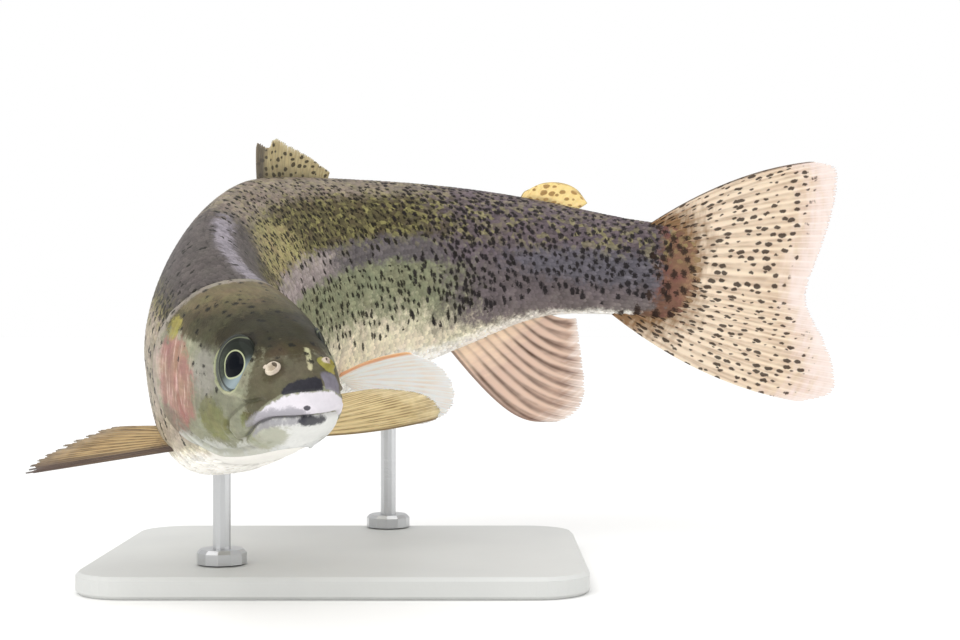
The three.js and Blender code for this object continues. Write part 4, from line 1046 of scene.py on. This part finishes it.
def fin_mesh(name, point_at, rays, rows, root_thickness, tip_thickness, notch, hidden=0.0, samples=10):
    """A closed fin between two faces; point_at gives its middle from places across and outwards."""
    columns = rays * samples
    across = np.repeat(np.linspace(0, 1, columns + 1)[:, None], rows + 1, 1)
    out = np.repeat(np.linspace(0, 1, rows + 1)[None, :], columns + 1, 0)
    ragged = scatter.uniform(0, 1, rays * 2 + 2)
    fray = np.interp(across[:, 0] * rays * 2, np.arange(rays * 2 + 2), ragged)[:, None]
    between = 1 - fin_rays(across, np.ones_like(out), rays)
    reach = 1 - notch * between * (0.5 + fray)
    middle = point_at(across, out * reach)
    along_rays = np.gradient(middle, axis=1)
    across_rays = np.gradient(middle, axis=0)
    face = np.cross(across_rays, along_rays)
    face /= np.maximum(np.linalg.norm(face, axis=-1, keepdims=True), 1e-9)
    ray = fin_rays(across, out, rays)
    full = root_thickness + (tip_thickness - root_thickness) * out**0.55
    rim = rise(across, 0, 0.03) * rise(across, 1, 0.97)
    half = full * (0.62 + 0.38 * ray * rim) / 2
    outer, inner = middle + face * half[..., None], middle - face * half[..., None]
    points = np.vstack([outer.reshape(-1, 3), inner.reshape(-1, 3)])
    size = rows + 1
    i, j = np.meshgrid(np.arange(columns), np.arange(rows), indexing="ij")
    here = i * size + j
    under = len(points) // 2
    top = np.stack([here, here + size, here + size + 1, here + 1], -1).reshape(-1, 4)
    edge_i, edge_j = np.arange(columns) * size, np.arange(rows)
    rim_quads = []
    for start, forward in ((edge_i, False), (edge_i + rows, True)):
        quad = np.stack([start, start + size, start + size + under, start + under], -1)
        rim_quads.append(quad if forward else quad[:, ::-1])
    for start, forward in ((edge_j, True), (edge_j + columns * size, False)):
        quad = np.stack([start, start + 1, start + 1 + under, start + under], -1)
        rim_quads.append(quad if forward else quad[:, ::-1])
    faces = np.vstack([top, top[:, ::-1] + under] + rim_quads)
    volume = np.einsum("ij,ij->i", points[faces[:, 0]],
                       np.cross(points[faces[:, 1]], points[faces[:, 2]])
                       + np.cross(points[faces[:, 2]], points[faces[:, 3]])).sum()
    fin = mesh_object(name, points, (faces if volume > 0 else faces[:, ::-1]).tolist())
    length = np.cumsum(np.linalg.norm(np.diff(middle, axis=1, prepend=middle[:, :1]), axis=-1), axis=1)
    fan = np.stack([across * rays, length, 0 * out], -1)
    ray_index = np.minimum((across * rays).astype(int), rays - 1)
    strength = scatter.uniform(0.45, 1.0, rays)[ray_index]
    offset = scatter.uniform(-0.16, 0.16, rays)[ray_index]
    stripe = hump((across * rays) % 1.0 - 0.5 - offset * out, 0.14 + 0.07 * out) * strength
    stripe = stripe * rise(out, 0.10, 0.3) * rise(out, 1.02, 0.8)
    # Colours start where the fin leaves the body, further out in the middle than at the edges.
    start = hidden * (1 - (2 * across - 1) ** 2) + 0.25 * hidden
    shown = np.clip((out - start) / (1 - start), 0, 1)
    made = fin.data.attributes.new("fan", "FLOAT_VECTOR", "POINT")
    made.data.foreach_set("vector", np.tile(fan.reshape(-1, 3), (2, 1)).astype(np.float32).ravel())
    for key, values in (("ray", ray), ("out", shown), ("across", across), ("stripe", stripe)):
        made = fin.data.attributes.new(key, "FLOAT", "POINT")
        made.data.foreach_set("value", np.tile(values.ravel(), 2).astype(np.float32))
    return fin


def fin_finish(name, root, web, margin, ray, spot, edge, edge_width, root_reach=0.3, margin_start=0.8,
               ray_cover=0.6, ray_fade=0.0, spot_pitch=(2.0, 5.0), spot_size=(0.2, 0.4), spot_to=0.85,
               stripe_cover=0.0, clear=0.45):
    """Fin skin: satin and slightly clear, its colours running from root to margin and along the rays."""
    material, out_node = new_material(name)
    tree = material.node_tree
    read = {key: add(tree, "Attribute", attribute_name=key).outputs["Fac"]
            for key in ("ray", "out", "across", "stripe")}
    fan = add(tree, "Attribute", attribute_name="fan").outputs["Vector"]
    uneven = add(tree, "TexNoise", {"Vector": fan, "Scale": 0.5, "Detail": 3.0}).outputs["Fac"]
    shift = add(tree, "Math", {0: uneven, 1: 0.35, 2: -0.175}, operation="MULTIPLY_ADD").outputs[0]
    out = add(tree, "Math", {0: read["out"], 1: shift}, operation="ADD").outputs[0]
    from_root = add(tree, "MapRange", {"Value": out, "From Min": 0.02, "From Max": root_reach})
    root_to_web = {0: from_root.outputs["Result"], 6: linear(root), 7: linear(web)}
    colour = add(tree, "Mix", root_to_web, data_type="RGBA").outputs[2]
    to_margin = {"Value": out, "From Min": margin_start - 0.1, "From Max": margin_start + 0.08}
    to_margin = add(tree, "MapRange", to_margin).outputs["Result"]
    colour = add(tree, "Mix", {0: to_margin, 6: colour, 7: linear(margin)}, data_type="RGBA").outputs[2]
    # Rays are darkest where their colour gathers, in stretches 6 mm long.
    stretches = add(tree, "Mapping", {"Vector": fan, "Scale": (0.9, 0.16, 1.0)}).outputs["Vector"]
    gather = add(tree, "TexNoise", {"Vector": stretches, "Scale": 1.0, "Detail": 2.0}).outputs["Fac"]
    gather = add(tree, "MapRange", {"Value": gather, "From Min": 0.35, "From Max": 0.6, "To Min": 0.35})
    ray_end = add(tree, "MapRange", {"Value": out, "From Min": 0.75, "From Max": 1.0, "To Min": ray_cover,
                                     "To Max": ray_cover * (1 - ray_fade)}).outputs["Result"]
    share = add(tree, "Math", {0: gather.outputs[0], 1: ray_end}, operation="MULTIPLY").outputs[0]
    share = add(tree, "Math", {0: share, 1: read["ray"]}, operation="MULTIPLY").outputs[0]
    colour = add(tree, "Mix", {0: share, 6: colour, 7: linear(ray)}, data_type="RGBA").outputs[2]
    stained = add(tree, "MapRange", {"Value": gather.outputs[0], "To Min": 0.65}).outputs["Result"]
    striped = add(tree, "Math", {0: read["stripe"], 1: stripe_cover}, operation="MULTIPLY").outputs[0]
    striped = add(tree, "Math", {0: striped, 1: stained}, operation="MULTIPLY").outputs[0]
    colour = add(tree, "Mix", {0: striped, 6: colour, 7: linear(ray)}, data_type="RGBA").outputs[2]
    if spot:
        wander = add(tree, "TexNoise", {"Vector": fan, "Scale": 0.7, "Detail": 1.0}).outputs["Color"]
        moved = {0: wander, 1: (0.3, 0.9, 0.0), 2: fan}
        moved = add(tree, "VectorMath", moved, operation="MULTIPLY_ADD").outputs[0]
        scale = (1 / spot_pitch[0], 1 / spot_pitch[1], 1.0)
        cells = add(tree, "Mapping", {"Vector": moved, "Scale": scale}).outputs["Vector"]
        cells = {"Vector": cells, "Scale": 1.0, "Randomness": 0.8}
        cell = add(tree, "TexVoronoi", cells, voronoi_dimensions="2D")
        chance = add(tree, "SeparateColor", {"Color": cell.outputs["Color"]}).outputs["Red"]
        size = add(tree, "MapRange", {"Value": chance, "To Min": spot_size[0], "To Max": spot_size[1]})
        fade = add(tree, "MapRange", {"Value": out, "From Min": spot_to, "From Max": spot_to + 0.08,
                                      "To Min": 1.0, "To Max": 0.0}).outputs["Result"]
        size = add(tree, "Math", {0: size.outputs[0], 1: fade}, operation="MULTIPLY").outputs[0]
        inner = add(tree, "Math", {0: size, 1: 0.06}, operation="SUBTRACT").outputs[0]
        outer = add(tree, "Math", {0: size, 1: 0.07}, operation="ADD").outputs[0]
        spot_span = {"Value": cell.outputs["Distance"], "From Min": outer, "From Max": inner}
        mark = add(tree, "MapRange", spot_span, interpolation_type="SMOOTHSTEP").outputs["Result"]
        mark = add(tree, "Math", {0: mark, 1: fade}, operation="MULTIPLY").outputs[0]
        mark = add(tree, "Math", {0: mark, 1: 0.9}, operation="MULTIPLY").outputs[0]
        colour = add(tree, "Mix", {0: mark, 6: colour, 7: linear(spot)}, data_type="RGBA").outputs[2]
    # The leading edge is darker.
    leading = {"Value": read["across"], "From Min": edge_width * 1.3, "From Max": edge_width * 0.6,
               "To Max": 0.85}
    leading = add(tree, "MapRange", leading).outputs["Result"]
    colour = add(tree, "Mix", {0: leading, 6: colour, 7: linear(edge)}, data_type="RGBA").outputs[2]
    gloss = add(tree, "MapRange", {"Value": uneven, "To Min": 0.38, "To Max": 0.55}).outputs["Result"]
    ridge = add(tree, "Bump", {"Height": read["ray"], "Strength": 0.3, "Distance": 0.0001})
    ridge = ridge.outputs["Normal"]
    shader = add(tree, "BsdfPrincipled", {
        "Base Color": colour, "Roughness": gloss, "Normal": ridge, "Specular IOR Level": 0.15,
        "Subsurface Weight": clear, "Subsurface Radius": (1.0, 0.8, 0.7), "Subsurface Scale": 0.0015})
    tree.links.new(shader.outputs[0], out_node.inputs["Surface"])
    return material


# Fins on the middle line. Root: where the first and last rays start, as along and up. Tips: place among
# the rays, along and up. Bow: how far the first and last rays bend. Hidden: the share inside the body.
MEDIAN_FINS = {
    "fin_dorsal": {
        "root": [(0.511, 33.0), (0.606, 29.0)],
        "tips": [(0, 0.531, 48.6), (0.12, 0.546, 45.8), (0.26, 0.558, 48.4), (0.45, 0.577, 45.0),
                 (0.62, 0.591, 42.0), (0.8, 0.605, 38.2), (1, 0.617, 34.6)],
        "bow": (1.2, 0.6), "rays": 12, "rows": 30, "thick": (2.0, 0.5), "notch": 0.12},
    "fin_adipose": {
        "root": [(0.816, 19.0), (0.868, 17.0)],
        "tips": [(0, 0.824, 23.6), (0.25, 0.841, 26.4), (0.5, 0.860, 26.8), (0.75, 0.876, 25.0),
                 (1, 0.889, 20.6)],
        "bow": (1.0, -0.6), "rays": 5, "rows": 24, "thick": (2.2, 0.6), "notch": 0.0},
    "fin_anal": {
        "root": [(0.714, -26.0), (0.844, -16.0)],
        "tips": [(0, 0.862, -54.0), (0.08, 0.884, -53.4), (0.22, 0.905, -49.2), (0.4, 0.911, -43.0),
                 (0.6, 0.906, -35.2), (0.8, 0.898, -26.6), (1, 0.890, -18.4)],
        "bow": (-8.5, -1.5), "rays": 10, "rows": 44, "thick": (2.0, 0.4), "notch": 0.045},
    "fin_caudal": {
        "root": [(0.950, 13.0), (0.915, -13.0)],
        "tips": [(0, 1.135, 42.4), (0.07, 1.160, 41.2), (0.16, 1.165, 33.6), (0.3, 1.160, 20.0),
                 (0.42, 1.150, 8.0), (0.5, 1.145, -2.0), (0.58, 1.152, -8.4), (0.7, 1.170, -16.0),
                 (0.84, 1.186, -26.6), (0.93, 1.184, -33.4), (1, 1.152, -37.4)],
        "bow": (4.6, -5.4), "rays": 22, "rows": 60, "thick": (4.2, 0.4), "notch": 0.02, "hidden": 0.27},
}

# Paired fins of the left side: a foot on the body, then root and tips as tailwards, left and up of it.
PECTORAL_LEFT_TIPS = [(0, 7.0, 46.2, -3.7), (0.18, 5.5, 46.7, -0.3), (0.38, 6.0, 42.9, 3.5),
                      (0.6, 10.0, 36.5, 4.9), (0.8, 13.0, 29.0, 5.2), (1, 13.0, 19.8, 3.9)]
PECTORAL_RIGHT_TIPS = [(0, 29.0, 38.0, -11.7), (0.15, 31.0, 37.1, -10.6), (0.35, 33.0, 31.6, -7.9),
                       (0.6, 32.0, 23.3, -4.3), (0.8, 30.0, 14.0, -1.6), (1, 22.0, 6.8, -0.6)]
PELVIC_TIPS = [(0, -2.0, 26.0, 6.0), (0.2, 6.0, 30.0, -1.0), (0.4, 15.0, 27.0, -10.0),
               (0.6, 20.0, 20.0, -18.0), (0.8, 19.0, 10.0, -21.0), (1, 14.0, 4.3, -17.6)]
PECTORAL = {"at": (0.212, 12.9, -18.0), "root": [(-4.5, -2.5, -1.0), (4.5, -2.5, 1.0)]}
PELVIC = {"at": (0.515, 13.5, -29.5), "root": [(-4.0, -2.5, 2.0), (4.0, -4.5, -0.5)]}
PAIRED_FINS = {
    "fin_pectoral_left": {**PECTORAL, "side": 1, "tips": PECTORAL_LEFT_TIPS, "bow": (-1.5, 2.0),
                          "rays": 13, "rows": 44, "thick": (2.0, 0.4), "notch": 0.04},
    "fin_pectoral_right": {**PECTORAL, "side": -1, "tips": PECTORAL_RIGHT_TIPS, "bow": (0.0, 0.6),
                           "rays": 13, "rows": 56, "thick": (2.0, 0.4), "notch": 0.20},
    "fin_pelvic_left": {**PELVIC, "side": 1, "tips": PELVIC_TIPS, "bow": (1.5, -1.0),
                        "rays": 10, "rows": 36, "thick": (2.0, 0.4), "notch": 0.04},
    "fin_pelvic_right": {**PELVIC, "side": -1, "tips": PELVIC_TIPS, "bow": (1.5, -1.0),
                         "rays": 10, "rows": 36, "thick": (2.0, 0.4), "notch": 0.04},
}


def median_point(fin):
    """Points of a fin on the middle line."""
    tip_along, tip_up = smooth_column(fin["tips"], 1), smooth_column(fin["tips"], 2)
    (first_along, first_up), (last_along, last_up) = fin["root"]

    def point(across, out):
        bow = (fin["bow"][0] + (fin["bow"][1] - fin["bow"][0]) * across) * 4 * out * (1 - out)
        along = (first_along + (last_along - first_along) * across) * (1 - out) + tip_along(across) * out
        up = (first_up + (last_up - first_up) * across) * (1 - out) + tip_up(across) * out
        return fish_point(along, 0, up + bow)
    return point


def paired_point(fin):
    """Points of a fin on one side, set out from its foot."""
    along, left, up = fin["at"]
    axes = spine_axes(np.array(along))
    foot = fish_point(along, fin["side"] * left, up)
    tips = [smooth_column(fin["tips"], k) for k in (1, 2, 3)]

    def point(across, out):
        bow = (fin["bow"][0] + (fin["bow"][1] - fin["bow"][0]) * across) * 4 * out * (1 - out)
        steps = [(fin["root"][0][k] + (fin["root"][1][k] - fin["root"][0][k]) * across) * (1 - out)
                 + tips[k](across) * out for k in range(3)]
        tailwards, left_step, up_step = steps
        return (foot + axes[0] * tailwards[..., None] + axes[1] * (fin["side"] * left_step)[..., None]
                + axes[2] * (up_step + bow)[..., None])
    return point


FIN_FINISHES = {
    "fin_dorsal": fin_finish(
        "spotted_olive_fin", "#5a5240", "#b3a680", "#cfc5a6", "#7c7052", "#3a3327", "#57514a", 0.10,
        root_reach=0.65, spot_pitch=(1.1, 2.6), spot_size=(0.14, 0.32), margin_start=0.97, spot_to=0.93,
        ray_cover=0.45),
    "fin_adipose": fin_finish("fleshy_yellow_fin", "#7d6d49", "#f0d79a", "#57503f", "#efd490", "#a38250",
                              "#8f8465", 0.02, root_reach=0.40, spot_pitch=(0.7, 2.6),
                              spot_size=(0.06, 0.40), margin_start=1.0, spot_to=0.9, ray_cover=0.0),
    "fin_anal": fin_finish("striped_pink_fin", "#fbe3c8", "#dcc3b2", "#efe0d8", "#4a2e20", None, "#8f7a70",
                           0.02, root_reach=0.3, ray_cover=0.45, ray_fade=0.2, margin_start=0.90,
                           stripe_cover=1.0),
    "fin_caudal": fin_finish("spotted_cream_fin", "#8f7152", "#eadac4", "#ecdcd6", "#8f6d50", "#35271e",
                             "#4f443c", 0.011, root_reach=0.24, spot_pitch=(0.66, 4.2),
                             spot_size=(0.10, 0.33), margin_start=0.84, spot_to=0.83, ray_cover=0.5,
                             ray_fade=0.8, stripe_cover=0.3),
    "fin_pectoral_left": fin_finish("amber_fin", "#a08a5c", "#dbc89a", "#e3d3ac", "#75603c", None,
                                    "#6b5a3f", 0.04, ray_cover=0.85, margin_start=0.92),
    "fin_pectoral_right": fin_finish("dark_amber_fin", "#4a3d35", "#b89f74", "#a89880", "#4f3f2c", None,
                                     "#463b3b", 0.20, ray_cover=0.9, margin_start=0.92, stripe_cover=0.5),
    "fin_pelvic_left": fin_finish("clear_pink_fin", "#fdf2e8", "#fffdfb", "#fffefe", "#ecc4a6", None,
                                  "#e8a473", 0.03, ray_cover=0.5, margin_start=0.85, clear=1.0),
}
FIN_FINISHES["fin_pelvic_right"] = FIN_FINISHES["fin_pelvic_left"]

for shapes, point_of in ((MEDIAN_FINS, median_point), (PAIRED_FINS, paired_point)):
    for name, fin in shapes.items():
        piece = fin_mesh(name.replace("fin_", "") + "_fin", point_of(fin), fin["rays"], fin["rows"],
                         *fin["thick"], fin["notch"], fin.get("hidden", 0.0))
        piece.data.materials.append(FIN_FINISHES[name])
        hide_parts(name)
        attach(piece, "root")
